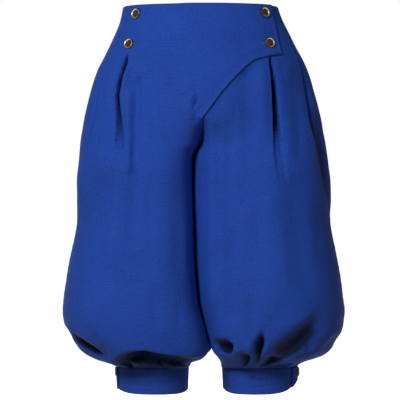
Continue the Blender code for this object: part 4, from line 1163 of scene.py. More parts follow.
# %% A whole cuff
def cuff_piece(band):
    """A double cloth band wound once round the knee, its end lapping over its start."""
    once_round = CUFF_LAP_FROM + 360.0
    end = once_round + band["lap"]
    degrees = np.linspace(CUFF_LAP_FROM, end, CUFF_STEPS + 1)
    turned = (degrees + 180.0) % 360.0 - 180.0
    raised = band["hem_raise"] * np.exp(-((turned / HEM_RAISE_SPREAD) ** 2))
    inner = 180.0 - np.abs(turned)
    raised = raised + band["inner_raise"] * np.exp(-((inner / INNER_RAISE_SPREAD) ** 2))
    lapping = (once_round - CUFF_EASE_DEGREES, once_round - CUFF_WHOLE_DEGREES)
    lift = (CUFF_CLOTH + SEAM_GAP) * ease(*lapping, degrees)
    crowded = (1.0 - np.cos(np.linspace(0.0, math.pi, CUFF_ROWS + 1))) / 2.0
    even = np.linspace(0.0, 1.0, CUFF_ROWS + 1)
    share = (CUFF_CROWDING * crowded + (1.0 - CUFF_CROWDING) * even)[:, None]
    below = (CUFF_HEM - CUFF_TOP - raised)[None, :] * share
    from_hem = (CUFF_HEM - CUFF_TOP - raised)[None, :] - below
    from_end = (end - degrees)[None, :] * DEGREE_MM + 0.0 * below
    edges = np.exp(-((below / CUFF_TOP_ROUNDING) ** 2)) + np.exp(-((from_hem / CUFF_HEM_ROUNDING) ** 2))
    round_off = CUFF_ROUND_OFF * edges + LAP_ROUND_OFF * np.exp(-((from_end / LAP_ROUNDING) ** 2))
    relief_here = cuff_relief(band, degrees[None, :] + 0.0 * below, below)
    grids = []
    for out, inside in ((0.0, 1.0), (-CUFF_CLOTH, -1.0)):
        moved = out + lift + relief_here - inside * round_off - CUFF_TAPER * share
        x, y = cuff_ring(band, degrees[None, :], moved)
        grids.append(np.stack([x, y, -CUFF_TOP - below], axis=-1))
    # The cuff's relief also sets its colour: painted shade in the crease troughs and painted light on the
    # raised creases and swells.
    thing = wall_between("cloth_cuff_" + band["leg"], grids[0], grids[1], -relief_here)
    print(thing.name, "triangles", len(thing.data.polygons) * 2)
    return thing


for leg_side, cuff_band in cuff_bands.items():
    panels["cuff_" + leg_side] = cuff_piece(cuff_band)

# %% [markdown]
# ## Where small things sit on the cloth
# Buttons, buttonholes and stitches lie on the cloth, so one function finds the point of the
# finished surface for a place given as a maker would: how far across and how far down.


# %% Points on the finished cloth
def front_surface(on, across, drop):
    """The point on the cloth's outer face in mm and the way it faces. `on` is right, left or flap."""
    side = "left" if on == "flap" else on
    v = np.array([share_where(side, drop, across)])
    down = np.array([float(drop)])
    way = outward(side, v, down)[0]
    point = base(side, v, down)
    height = relief(side, v, down)[0] + float(uneven(point[0, 0], float(drop)))
    if on == "flap":
        height += FLAP_GAP + CLOTH
    return point[0] + way * height, way


def cuff_surface(leg, degrees, below, lapped=True):
    """The point on a cuff's outer face in mm and the way it faces."""
    band = cuff_bands[leg]
    places = []
    for turn in (degrees - 1.0, degrees, degrees + 1.0):
        share = below / (CUFF_HEM - CUFF_TOP)
        out = (CUFF_CLOTH + SEAM_GAP if lapped else 0.0) - CUFF_TAPER * share
        wound = turn + (360.0 if lapped else 0.0)
        out += float(cuff_relief(band, np.array([wound]), np.array([below]))[0])
        x, y = cuff_ring(band, turn, out)
        places.append(Vector((float(x), float(y), -CUFF_TOP - below)))
    along = (places[2] - places[0]).normalized()
    way = along.cross(Vector((0.0, 0.0, -1.0))) * LEG_SIDES[leg]["sign"]
    return np.array(places[1]), np.array(way)


def seat(point, way, out, scale=1.0, spin=0.0):
    """The placing of a small thing in metres: on the cloth, facing out, turned by spin degrees."""
    way = Vector(way).normalized()
    side_way = Vector((0.0, 0.0, 1.0)).cross(way).normalized()
    up_way = way.cross(side_way)
    turn = Matrix((side_way, up_way, way)).transposed().to_4x4()
    place = Vector(point) * MM + Vector((0.0, 0.0, ORIGIN_DROP * MM)) + way * out * MM
    spun = Matrix.Rotation(math.radians(spin), 4, "Z")
    return Matrix.Translation(place) @ turn @ spun @ Matrix.Scale(scale, 4)


# %% [markdown]
# ## Buttons
# The buttons are turned metal with an antique finish: a rounded rim, a step down to a dark
# sunk middle, four holes and thread through them. One is modelled by insetting the top of a
# disc again and again, each time a little higher or lower, and the others are copies of it.

# %% Helpers for modelling by hand
def nothing_selected():
    """Leaves edit mode and deselects everything."""
    if bpy.context.object is not None and bpy.context.object.mode == "EDIT":
        bpy.ops.object.mode_set(mode="OBJECT")
    bpy.ops.object.select_all(action="DESELECT")


def only(thing):
    """Makes one object the selected and active one."""
    nothing_selected()
    thing.select_set(True)
    bpy.context.view_layer.objects.active = thing


def edit_top_face():
    """Edit mode with only the highest level face of the active object selected."""
    bpy.ops.object.mode_set(mode="EDIT")
    bpy.ops.mesh.select_mode(type="FACE")
    bpy.ops.mesh.select_all(action="DESELECT")
    shape = bmesh.from_edit_mesh(bpy.context.object.data)
    top = max(shape.faces, key=lambda face: (round(face.calc_center_median().z, 6), face.calc_area()))
    top.select_set(True)
    shape.faces.active = top
    bmesh.update_edit_mesh(bpy.context.object.data)


def apply_all(thing):
    """Applies every modifier of a thing, in order."""
    only(thing)
    for modifier in list(thing.modifiers):
        bpy.ops.object.modifier_apply(modifier=modifier.name)


# %% One button, modelled at the origin
BUTTON_RADIUS = 9.5
BUTTON_STEPS = (
    # inset and rise in mm, working from the outer edge to the sunk middle
    (0.55, 0.55),
    (0.75, 0.35),
    (0.85, 0.05),
    (0.75, -0.45),
    (0.55, -0.95),
    (0.50, -0.20),
    (1.60, 0.18),
)
BLANK_THICK = 1.7
EDGE_SOFTNESS = 0.22
nothing_selected()
bpy.ops.mesh.primitive_cylinder_add(
    vertices=72,
    radius=BUTTON_RADIUS * MM,
    depth=BLANK_THICK * MM,
    location=(0.0, 0.0, BLANK_THICK / 2.0 * MM),
)
first_button = bpy.context.object
first_button.name = "first_button"
edit_top_face()
for inset, rise in BUTTON_STEPS:
    bpy.ops.mesh.inset(thickness=inset * MM, depth=rise * MM)
bpy.ops.object.mode_set(mode="OBJECT")
soften = first_button.modifiers.new("softened edges", "BEVEL")
soften.width = EDGE_SOFTNESS * MM
soften.segments = 2
soften.limit_method = "ANGLE"
soften.angle_limit = math.radians(18.0)
apply_all(first_button)
print("button before its holes:", len(first_button.data.polygons), "faces")

# %% Its four holes
HOLE_OUT = 1.65
HOLE_RADIUS = 0.85
DRILL_LENGTH = 6.0
DRILL_MIDDLE = 1.5
nothing_selected()
drills = []
for corner in range(4):
    turn = math.radians(45.0 + 90.0 * corner)
    place = (HOLE_OUT * math.cos(turn) * MM, HOLE_OUT * math.sin(turn) * MM, DRILL_MIDDLE * MM)
    bpy.ops.mesh.primitive_cylinder_add(
        vertices=20, radius=HOLE_RADIUS * MM, depth=DRILL_LENGTH * MM, location=place
    )
    drills.append(bpy.context.object)
only(drills[0])
for drill in drills[1:]:
    drill.select_set(True)
bpy.ops.object.join()
drilled = first_button.modifiers.new("holes", "BOOLEAN")
drilled.operation = "DIFFERENCE"
drilled.solver = "EXACT"
drilled.object = drills[0]
apply_all(first_button)
bpy.data.objects.remove(drills[0], do_unlink=True)
only(first_button)
bpy.ops.object.shade_smooth_by_angle(angle=math.radians(40.0))
button_size = [round(n / MM, 2) for n in first_button.dimensions]
print("button:", len(first_button.data.polygons), "faces, size in mm", button_size)

# %% Thread through the holes
# Two bridges of several strands each, standing a little proud of the sunk middle.
STRANDS = (-0.36, 0.0, 0.36)
STRAND_RADIUS = 0.24
BRIDGE_HIGH = 1.35
BRIDGE_FLATTENED = 0.75
nothing_selected()
strands = []
for row in (-1.0, 1.0):
    for strand in STRANDS:
        bpy.ops.mesh.primitive_torus_add(
            major_segments=20,
            minor_segments=6,
            major_radius=(HOLE_OUT * 0.72) * MM,
            minor_radius=STRAND_RADIUS * MM,
            location=(0.0, (row * HOLE_OUT * 0.71 + strand) * MM, BRIDGE_HIGH * MM),
            rotation=(math.radians(90.0), 0.0, 0.0),
        )
        strands.append(bpy.context.object)
only(strands[0])
for strand in strands[1:]:
    strand.select_set(True)
bpy.ops.object.join()
first_thread = bpy.context.object
first_thread.name = "first_thread"
bpy.ops.object.transform_apply(location=True, rotation=True, scale=True)
bpy.ops.transform.resize(
    value=(1.0, 1.0, BRIDGE_FLATTENED), center_override=(0.0, 0.0, BRIDGE_HIGH * MM)
)
bpy.ops.object.transform_apply(location=True, rotation=True, scale=True)
bpy.ops.object.shade_smooth()
print("thread:", len(first_thread.data.polygons), "faces")

# %% Copies on their places
BUTTON_COLUMNS = ("name", "on", "across", "drop", "diameter", "spin")
BUTTONS = (
    ("button_waist_right_top", "right", 106.0, 15.7, 19.0, 20.0),
    ("button_waist_right_low", "right", 117.6, 65.3, 19.0, -35.0),
    ("button_flap_top", "flap", 102.8, 14.5, 19.0, -15.0),
    ("button_flap_low", "flap", 110.3, 65.3, 19.0, 38.0),
)
CUFF_BUTTON_COLUMNS = ("name", "leg", "angle", "below_top", "diameter", "spin")
CUFF_BUTTONS = (
    ("button_cuff_right", "right", 4.0, 9.0, 14.5, 10.0),
    ("button_cuff_left", "left", 9.0, 9.0, 14.5, -25.0),
)
BUTTON_GAP = 0.3


def placed_copy(model, name, placing):
    """A copy with its own mesh, moved in its mesh so that its object stays at the origin."""
    thing = model.copy()
    thing.data = model.data.copy()
    thing.name = name
    thing.data.transform(placing)
    bpy.context.collection.objects.link(thing)
    return thing


buttons = {}
threads = {}
button_places = []
for one in named(BUTTONS, BUTTON_COLUMNS) + named(CUFF_BUTTONS, CUFF_BUTTON_COLUMNS):
    name = one["name"]
    if "leg" in one:
        point, way = cuff_surface(one["leg"], one["angle"], one["below_top"])
    else:
        point, way = front_surface(one["on"], one["across"], one["drop"])
    scale = one["diameter"] / (2.0 * BUTTON_RADIUS)
    button_places.append((name, point, scale))
    placing = seat(point, way, BUTTON_GAP, scale, one["spin"])
    buttons[name] = placed_copy(first_button, "turned_" + name, placing)
    threads[name] = placed_copy(first_thread, "thread_" + name, placing)
for model in (first_button, first_thread):
    bpy.data.objects.remove(model, do_unlink=True)
print(len(buttons), "buttons placed")

# %% [markdown]
# ## Stitches and buttonholes
# A line of topstitching holds the waist edge and the flap's edge flat. One stitch is a small
# rounded grain of thread, and the line is that grain repeated, each half sunk in the cloth.
# A buttonhole is a slit with close stitches all round it, of which only the end shows beside
# its button.

# %% Lines of stitches
STITCH_LENGTH = 2.3
STITCH_SPACING = 3.0
STITCH_THICK = 0.26
STITCH_OUT = 0.10
STITCH_RING = 5
# One stitch: rings at these shares of its length, this wide, over a path that rises and sinks.
STITCH_RINGS = ((0.06, 0.6), (0.3, 1.0), (0.7, 1.0), (0.94, 0.6))
STITCH_RISE = 0.9
STITCH_SUNK = 0.3


def grain_of_thread(start, finish, way, thick):
    """Points and faces of one stitch between two places on the cloth, rounded off at both ends."""
    start, finish, way = (np.asarray(n, dtype=float) for n in (start, finish, way))
    along = finish - start
    side_way = np.cross(along, way)
    side_way = side_way / np.linalg.norm(side_way)
    points = [start - way * thick * 0.5]
    for share, wide in STITCH_RINGS:
        lift = way * thick * (STITCH_RISE * math.sin(math.pi * share) - STITCH_SUNK)
        for i in range(STITCH_RING):
            turn = 2.0 * math.pi * i / STITCH_RING
            out = side_way * math.cos(turn) + way * math.sin(turn)
            points.append(start + along * share + lift + thick * wide * out)
    points.append(finish - way * thick * 0.5)
    faces = []
    last = len(points) - 1
    for i in range(STITCH_RING):
        k = (i + 1) % STITCH_RING
        faces.append((0, 1 + k, 1 + i))
        for ring in range(3):
            a = 1 + ring * STITCH_RING
            faces.append((a + i, a + k, a + STITCH_RING + k, a + STITCH_RING + i))
        a = 1 + 3 * STITCH_RING
        faces.append((a + i, a + k, last))
    return points, faces


def stitched(name, stitches, thick=STITCH_THICK):
    """One joined piece from many stitches, each given by its two ends and the way it faces, in mm."""
    points = []
    faces = []
    for start, finish, way in stitches:
        grain, sides = grain_of_thread(start, finish, way, thick)
        first = len(points)
        points.extend(grain)
        faces.extend(tuple(first + i for i in side) for side in sides)
    points = np.array(points) * MM
    points[:, 2] += ORIGIN_DROP * MM
    mesh = bpy.data.meshes.new(name)
    mesh.from_pydata(points.tolist(), [], faces)
    shape = bmesh.new()
    shape.from_mesh(mesh)
    bmesh.ops.recalc_face_normals(shape, faces=shape.faces)
    shape.to_mesh(mesh)
    shape.free()
    mesh.polygons.foreach_set("use_smooth", [True] * len(mesh.polygons))
    thing = bpy.data.objects.new(name, mesh)
    bpy.context.collection.objects.link(thing)
    print(name, len(stitches), "stitches,", sum(len(f) - 2 for f in faces), "triangles")
    return thing


def along_line(points, ways, spacing=STITCH_SPACING, length=STITCH_LENGTH):
    """Stitches of one length at one spacing along a line on the cloth."""
    points = np.asarray(points)
    ways = np.asarray(ways)
    run = np.concatenate([[0.0], np.cumsum(np.linalg.norm(np.diff(points, axis=0), axis=1))])
    stitches = []
    for i in range(int(run[-1] / spacing)):
        at = i * spacing
        start, finish, way = (
            np.array([np.interp(where, run, line[:, axis]) for axis in range(3)])
            for where, line in ((at, points), (at + length, points), (at + length / 2.0, ways))
        )
        stitches.append((start + way * STITCH_OUT, finish + way * STITCH_OUT, way))
    return stitches


# %% The stitched lines
# The outer face is read back from each finished panel: half of its points are the outer grid.
EDGE_LINE = 3.5
EDGE_SKIPPED = 3
FLAP_CLEAR = 3.0
FLAP_LINE_ENDS = (5.5, 182.0)


def outer_grid(thing, cols):
    """A finished panel's outer points in mm, as its rows and columns."""
    points = np.empty(len(thing.data.vertices) * 3)
    thing.data.vertices.foreach_get("co", points)
    points = points.reshape(-1, 3) / MM
    points[:, 2] -= ORIGIN_DROP
    half = len(points) // 2
    return points[:half].reshape(-1, cols, 3)


def grid_ways(grid):
    """The outward directions of a grid of points."""
    ways = grid_facing(grid)
    if np.einsum("ijk,ijk->", ways[..., :2], grid[..., :2]) < 0.0:
        ways = -ways
    return ways


AT_EDGES = 1 + 2 * len(EDGE_COLUMNS) + 2
GRID_COLS = {
    "front": FRONT_STEPS_OUTSIDE + FRONT_STEPS_INSIDE + AT_EDGES,
    "back": BACK_STEPS + AT_EDGES,
}
waist_stitches = []
for node in ("front_right", "front_left", "back_right", "back_left"):
    face = node.split("_")[0]
    row = int(np.argmin(np.abs(np.array(levels(face + "_steps")) - EDGE_LINE)))
    grid = outer_grid(panels[node], GRID_COLS[face])
    line = grid[row, EDGE_SKIPPED:-EDGE_SKIPPED]
    facing = grid_ways(grid)[row, EDGE_SKIPPED:-EDGE_SKIPPED]
    if node == "front_left":
        shown = np.abs(line[:, 0]) > FLAP_ROWS[0][1] + FLAP_CLEAR
        line, facing = line[shown], facing[shown]
    waist_stitches += along_line(line, facing)
stitch_waist = stitched("stitches_waist_edge", waist_stitches)

# %% The flap's stitched edge
flap_grid = outer_grid(panels["front_right"], GRID_COLS["front"])
flap_ways = grid_ways(flap_grid)
flap_line = []
flap_facing = []
for row, drop in enumerate(levels("front_steps")):
    if FLAP_LINE_ENDS[0] < drop < FLAP_LINE_ENDS[1]:
        away = beside_path(flap_grid[row, :, 0], np.full(GRID_COLS["front"], drop), FLAP_PATH)[0]
        beyond = np.flatnonzero(flap_grid[row, :, 0] > 1.0)
        inside = beyond[away[beyond] >= EDGE_LINE]
        if len(inside):
            i = inside[-1]
            flap_line.append(flap_grid[row, i])
            flap_facing.append(flap_ways[row, i])
stitch_flap = stitched("stitches_flap_edge", along_line(flap_line, flap_facing))

# %% Buttonholes
BUTTONHOLES = (
    ("flap", 102.8, 14.5),
    ("flap", 110.3, 65.3),
)
HOLE_LENGTH = 23.0
HOLE_ENDS = (-0.56, 0.44)
HOLE_HALF = 1.5
SLIT_HALF = 0.25
SLIT_RISE = 0.25
STITCH_END_RISE = 0.12
BAR_SPACING = 0.62
BAR_RISE = 0.3
HOLE_THREAD = 0.3
hole_stitches = []
for on, across, drop in BUTTONHOLES:
    steps = int(HOLE_LENGTH / BAR_SPACING)
    for i in range(steps + 1):
        x = across + HOLE_LENGTH * HOLE_ENDS[0] + HOLE_LENGTH * i / steps
        for up in (-1.0, 1.0):
            inner_end, way = front_surface(on, x, drop + up * SLIT_HALF)
            outer_end, _ = front_surface(on, x, drop + up * HOLE_HALF)
            hole_stitches.append((inner_end + way * SLIT_RISE, outer_end + way * STITCH_END_RISE, way))
    for end in HOLE_ENDS:
        x = across + HOLE_LENGTH * end
        low, way = front_surface(on, x, drop - HOLE_HALF)
        high, _ = front_surface(on, x, drop + HOLE_HALF)
        hole_stitches.append((low + way * BAR_RISE, high + way * BAR_RISE, way))
stitch_holes = stitched("stitches_buttonholes", hole_stitches, thick=HOLE_THREAD)

# %% [markdown]
# ## Cloth finish
# The cloth is a matte blue twill. Its weave is far finer than a pixel of the photograph, so
# from a distance it reads as a faint mottle, and close up as slanting ribs. A group makes the
# weave from the panel's own flat pattern, so the ribs follow the grain of each piece as cut.
# In the deep places of folds and gathers the colour is painted down towards a dark blue, as
# little light gets in there: painted shade. The cuffs' colour also follows their creases, with
# painted shade in the troughs and painted light on the raised ones.

# %% Helpers for shader nodes
def group_socket(group, name, direction, kind, value=None):
    """A named socket of a shader group."""
    made = group.interface.new_socket(name=name, in_out=direction, socket_type=kind)
    if value is not None:
        made.default_value = value
    return made


def math_node(nodes, links, operation, first, second=None, third=None):
    """A Math node fed by sockets or by numbers."""
    node = nodes.new("ShaderNodeMath")
    node.operation = operation
    for i, value in enumerate((first, second, third)):
        if value is None:
            continue
        if isinstance(value, (int, float)):
            node.inputs[i].default_value = value
        else:
            links.new(value, node.inputs[i])
    return node.outputs[0]


def noise_node(nodes, links, vector, scale, detail=2.0, rough=0.5):
    """A Noise node read at one scale."""
    node = nodes.new("ShaderNodeTexNoise")
    node.inputs["Scale"].default_value = scale
    node.inputs["Detail"].default_value = detail
    node.inputs["Roughness"].default_value = rough
    links.new(vector, node.inputs["Vector"])
    return node.outputs["Fac"]


# %% Group: woven twill
RIBS = 1100.0
TWILL_SLANT = 0.8
TWILL_WANDER = 0.0012
WANDER_SCALE = 60.0
RIB_TURN = 6.2832
PICK_TURN = 12.566
RIB_HEIGHT = 0.30
PICK_HEIGHT = 0.12
WARP_SCALES = (900.0, 60.0, 1.0)
WEFT_SCALES = (50.0, 800.0, 1.0)
MOTTLE_SCALE = 380.0


def yarns(nodes, links, flat, scales):
    """The thick and thin places of the yarns that run one way."""
    stretch = nodes.new("ShaderNodeMapping")
    stretch.inputs["Scale"].default_value = scales
    links.new(flat, stretch.inputs["Vector"])
    return noise_node(nodes, links, stretch.outputs[0], 1.0, 3.0)


def make_twill_group():
    """Ribs that slant across the cloth, thick and thin yarns, and a slow mottle."""
    group = bpy.data.node_groups.new("woven twill", "ShaderNodeTree")
    nodes, links = group.nodes, group.links
    group_socket(group, "Flat", "INPUT", "NodeSocketVector")
    group_socket(group, "Ribs per metre", "INPUT", "NodeSocketFloat", RIBS)
    for name in ("Height", "Mottle", "Yarn"):
        group_socket(group, name, "OUTPUT", "NodeSocketFloat")
    into = nodes.new("NodeGroupInput")
    out = nodes.new("NodeGroupOutput")
    flat = into.outputs["Flat"]
    apart = nodes.new("ShaderNodeSeparateXYZ")
    links.new(flat, apart.inputs[0])
    u, v = apart.outputs[0], apart.outputs[1]
    wander = noise_node(nodes, links, flat, WANDER_SCALE)
    slant = math_node(nodes, links, "ADD", u, math_node(nodes, links, "MULTIPLY", v, TWILL_SLANT))
    slant = math_node(nodes, links, "ADD", slant, math_node(nodes, links, "MULTIPLY", wander, TWILL_WANDER))
    turns = math_node(nodes, links, "MULTIPLY", slant, into.outputs["Ribs per metre"])
    rib = math_node(nodes, links, "SINE", math_node(nodes, links, "MULTIPLY", turns, RIB_TURN))
    cross = math_node(nodes, links, "MULTIPLY", v, into.outputs["Ribs per metre"])
    pick = math_node(nodes, links, "SINE", math_node(nodes, links, "MULTIPLY", cross, PICK_TURN))
    warp = yarns(nodes, links, flat, WARP_SCALES)
    weft = yarns(nodes, links, flat, WEFT_SCALES)
    yarn = math_node(nodes, links, "MULTIPLY", math_node(nodes, links, "ADD", warp, weft), 0.5)
    height = math_node(nodes, links, "MULTIPLY_ADD", rib, RIB_HEIGHT, yarn)
    height = math_node(nodes, links, "MULTIPLY_ADD", pick, PICK_HEIGHT, height)
    mottle = noise_node(nodes, links, flat, MOTTLE_SCALE, 4.0, 0.6)
    links.new(height, out.inputs["Height"])
    links.new(mottle, out.inputs["Mottle"])
    links.new(yarn, out.inputs["Yarn"])
    return group


twill = make_twill_group()
print(twill.name, "group,", len(twill.nodes), "nodes")

# %% Group: handling and wear
def make_wear_group():
    """Where cloth or metal has been handled: a large soft cloud and a fine speckle."""
    group = bpy.data.node_groups.new("handled", "ShaderNodeTree")
    nodes, links = group.nodes, group.links
    group_socket(group, "Place", "INPUT", "NodeSocketVector")
    group_socket(group, "Scale", "INPUT", "NodeSocketFloat", 20.0)
    group_socket(group, "Cloud", "OUTPUT", "NodeSocketFloat")
    group_socket(group, "Speckle", "OUTPUT", "NodeSocketFloat")
    into = nodes.new("NodeGroupInput")
    out = nodes.new("NodeGroupOutput")
    for name, times, detail in (("Cloud", 1.0, 3.0), ("Speckle", 14.0, 4.0)):
        node = nodes.new("ShaderNodeTexNoise")
        node.inputs["Detail"].default_value = detail
        links.new(into.outputs["Place"], node.inputs["Vector"])
        links.new(math_node(nodes, links, "MULTIPLY", into.outputs["Scale"], times), node.inputs["Scale"])
        links.new(node.outputs["Fac"], out.inputs[name])
    return group


handled = make_wear_group()
print(handled.name, "group,", len(handled.nodes), "nodes")


# %% Helpers for finishes
def new_finish(name):
    """A new material, its nodes, its links and its shader."""
    made = bpy.data.materials.new(name)
    made.use_nodes = True
    nodes, links = made.node_tree.nodes, made.node_tree.links
    return made, nodes, links, nodes["Principled BSDF"]


def handling(nodes, links, scale):
    """The handled group placed in a finish, in the piece's own space."""
    place = nodes.new("ShaderNodeTexCoord")
    wear = nodes.new("ShaderNodeGroup")
    wear.node_tree = handled
    wear.inputs["Scale"].default_value = scale
    links.new(place.outputs["Object"], wear.inputs["Place"])
    return wear


def ramp_node(nodes, links, value, stops):
    """A colour ramp through places and colours."""
    node = nodes.new("ShaderNodeValToRGB")
    ramp = node.color_ramp
    for element, (at, colour) in zip(ramp.elements, (stops[0], stops[-1])):
        element.position = at
        element.color = (*colour, 1.0)
    for at, colour in stops[1:-1]:
        ramp.elements.new(at).color = (*colour, 1.0)
    links.new(value, node.inputs["Fac"])
    return node.outputs["Color"]


def swayed(nodes, links, mask, share, value):
    """A value moved up and down by a share of a mask that lies about a half."""
    about_zero = math_node(nodes, links, "SUBTRACT", mask, 0.5)
    return math_node(nodes, links, "MULTIPLY_ADD", about_zero, share, value)


def bumped(nodes, links, height, strength, distance):
    """Fine relief on a finish's shader, from a height and a distance in metres."""
    node = nodes.new("ShaderNodeBump")
    node.inputs["Strength"].default_value = strength
    node.inputs["Distance"].default_value = distance
    links.new(height, node.inputs["Height"])
    links.new(node.outputs["Normal"], nodes["Principled BSDF"].inputs["Normal"])


# %% The blue cloth
# The first colour of the panel and cuff ramps is the dark blue that the painted shade goes down to.
CLOTH_STOPS = (0.02, 0.5, 0.80)
CLOTH_COLOURS = {
    "panel": ((0.0026, 0.0082, 0.044), (0.0165, 0.073, 0.440), (0.0225, 0.091, 0.510)),
    # The cuffs' colours are the panels' painted a little darker: painted shade.
    "cuff": ((0.0026, 0.0082, 0.044), (0.0155, 0.067, 0.405), (0.0205, 0.082, 0.465)),
    "thread": ((0.020, 0.070, 0.37), (0.030, 0.098, 0.48), (0.040, 0.120, 0.55)),
}


# How strongly the painted shade darkens the colour.
PAINTED_SHADE_DARKENS = -0.045
MOTTLE_SHARE = 0.72
YARN_SHARE = 0.8
CLOUD_SHARE = 0.25
CLOUD_SCALE = 14.0
CLOTH_ROUGH = 0.74
YARN_ROUGH = 0.16
CLOTH_BUMP = (0.16, 0.0003)


def cloth_material(name, part):
    """Blue twill: colour, roughness and relief from the weave, a little sheen from the nap, and painted
    shade that darkens the colour in the cloth's deep places.
    """
    made, nodes, links, shader = new_finish(name)
    flat = nodes.new("ShaderNodeUVMap")
    flat.uv_map = "cut"
    weave = nodes.new("ShaderNodeGroup")
    weave.node_tree = twill
    weave.inputs["Ribs per metre"].default_value = RIBS
    links.new(flat.outputs["UV"], weave.inputs["Flat"])
    wear = handling(nodes, links, CLOUD_SCALE)
    # Painted shade: the deeper a point lies, the further its colour goes down the ramp towards dark blue.
    painted_shading = nodes.new("ShaderNodeAttribute")
    painted_shading.attribute_name = "painted_shading"
    tone = math_node(nodes, links, "MULTIPLY_ADD", painted_shading.outputs["Fac"], PAINTED_SHADE_DARKENS, 0.5)
    tone = swayed(nodes, links, weave.outputs["Mottle"], MOTTLE_SHARE, tone)
    tone = swayed(nodes, links, weave.outputs["Yarn"], YARN_SHARE, tone)
    tone = swayed(nodes, links, wear.outputs["Cloud"], CLOUD_SHARE, tone)
    stops = list(zip(CLOTH_STOPS, CLOTH_COLOURS[part]))
    links.new(ramp_node(nodes, links, tone, stops), shader.inputs["Base Color"])
    rough = math_node(nodes, links, "MULTIPLY_ADD", weave.outputs["Yarn"], YARN_ROUGH, CLOTH_ROUGH)
    links.new(rough, shader.inputs["Roughness"])
    shader.inputs["Specular IOR Level"].default_value = 0.12
    shader.inputs["Sheen Weight"].default_value = 0.04
    shader.inputs["Sheen Roughness"].default_value = 0.45
    shader.inputs["Sheen Tint"].default_value = (0.30, 0.45, 1.0, 1.0)
    bumped(nodes, links, weave.outputs["Height"], *CLOTH_BUMP)
    return made


panel_finish = cloth_material("blue twill", "panel")
# The cuffs get the same twill painted a little darker all over: painted shade.
cuff_finish_painted_darker = cloth_material("blue twill cuffs", "cuff")
for node, thing in panels.items():
    thing.data.materials.append(cuff_finish_painted_darker if node.startswith("cuff") else panel_finish)
print(len(panels), "pieces of cloth finished")


# %% Sewing thread
THREAD_BUMP = (0.3, 0.0002)


def thread_material(name, colours, scale):
    """Twisted thread: a soft two-tone speckle in the piece's own space."""
    made, nodes, links, shader = new_finish(name)
    wear = handling(nodes, links, scale)
    stops = list(zip(CLOTH_STOPS, colours))
    links.new(ramp_node(nodes, links, wear.outputs["Speckle"], stops), shader.inputs["Base Color"])
    shader.inputs["Roughness"].default_value = 0.62
    shader.inputs["Sheen Weight"].default_value = 0.12
    bumped(nodes, links, wear.outputs["Speckle"], *THREAD_BUMP)
    return made


blue_thread = thread_material("blue sewing thread", CLOTH_COLOURS["thread"], 300.0)
brown_thread = thread_material(
    "brown button thread", ((0.028, 0.010, 0.006), (0.075, 0.026, 0.016), (0.13, 0.05, 0.03)), 500.0
)
for thing in (stitch_waist, stitch_flap, stitch_holes):
    thing.data.materials.append(blue_thread)
print("threads:", blue_thread.name, "and", brown_thread.name)

# %% [markdown]
# ## Antique metal
# The rim is bright on its crest, as rubbed brass and as a painted highlight, and stays dark in
# the step and the sunk middle, where the brass is browned. Its outer edge is painted dark as
# painted shade. The pattern reads how far each point is from the button's own middle, which an
# attribute holds, so all six copies are coloured the same way wherever they sit.

# %% Antique brass
BRASS_SCALE = 160.0
BRASS_UNEVEN = 0.22
# Colour by how far out: browned sunk middle and step, a painted highlight over rubbed brass on the crest,
# and painted shade at the outer edge.
BRASS_PATINA_AND_PAINTED_LIGHT = (
    (0.0, (0.070, 0.024, 0.014)),
    (0.56, (0.060, 0.026, 0.015)),
    (0.66, (0.085, 0.055, 0.028)),
    (0.74, (0.82, 0.69, 0.38)),
    (0.82, (0.52, 0.40, 0.19)),
    (0.90, (0.10, 0.070, 0.035)),
    (1.0, (0.035, 0.024, 0.015)),
)
BRASS_BRIGHT = (("From Min", 0.62), ("From Max", 0.80), ("To Min", 0.25), ("To Max", 0.95))
SPECKLE_ROUGH = 0.25
BRASS_ROUGH = 0.20
BRASS_BUMP = (0.25, 0.0002)


def mark_buttons(thing, point, scale):
    """Stores how far out each point of a button lies, from 0 in the middle to 1 at the rim."""
    middle = Vector(point) * MM + Vector((0.0, 0.0, ORIGIN_DROP * MM))
    radius = BUTTON_RADIUS * scale * MM
    held = thing.data.attributes.new("out", "FLOAT", "POINT")
    held.data.foreach_set("value", [(vertex.co - middle).length / radius for vertex in thing.data.vertices])


def brass_material():
    """Antique brass: browned in its step and sunk middle, bright on the rim's crest as rubbed brass and a
    painted highlight, painted dark at the outer edge as painted shade.
    """
    made, nodes, links, shader = new_finish("antique brass")
    wear = handling(nodes, links, BRASS_SCALE)
    out = nodes.new("ShaderNodeAttribute")
    out.attribute_name = "out"
    spread = swayed(nodes, links, wear.outputs["Cloud"], BRASS_UNEVEN, out.outputs["Fac"])
    links.new(ramp_node(nodes, links, spread, BRASS_PATINA_AND_PAINTED_LIGHT), shader.inputs["Base Color"])
    bright = nodes.new("ShaderNodeMapRange")
    for name, value in BRASS_BRIGHT:
        bright.inputs[name].default_value = value
    links.new(spread, bright.inputs["Value"])
    links.new(bright.outputs["Result"], shader.inputs["Metallic"])
    rough = math_node(nodes, links, "MULTIPLY_ADD", wear.outputs["Speckle"], SPECKLE_ROUGH, BRASS_ROUGH)
    links.new(rough, shader.inputs["Roughness"])
    bumped(nodes, links, wear.outputs["Speckle"], *BRASS_BUMP)
    return made


brass = brass_material()
for name, point, scale in button_places:
    mark_buttons(buttons[name], point, scale)
    buttons[name].data.materials.clear()
    buttons[name].data.materials.append(brass)
    threads[name].data.materials.clear()
    threads[name].data.materials.append(brown_thread)
print(len(button_places), "buttons finished")

# %% [markdown]
# ## What each piece stands for
# Everything rides on the one body. Each cloth piece stands for the solid of the same name, which
# is hidden, and a table lists the size each sheet was cut to before it was gathered and sewn;
# the cloth area of each piece is printed.

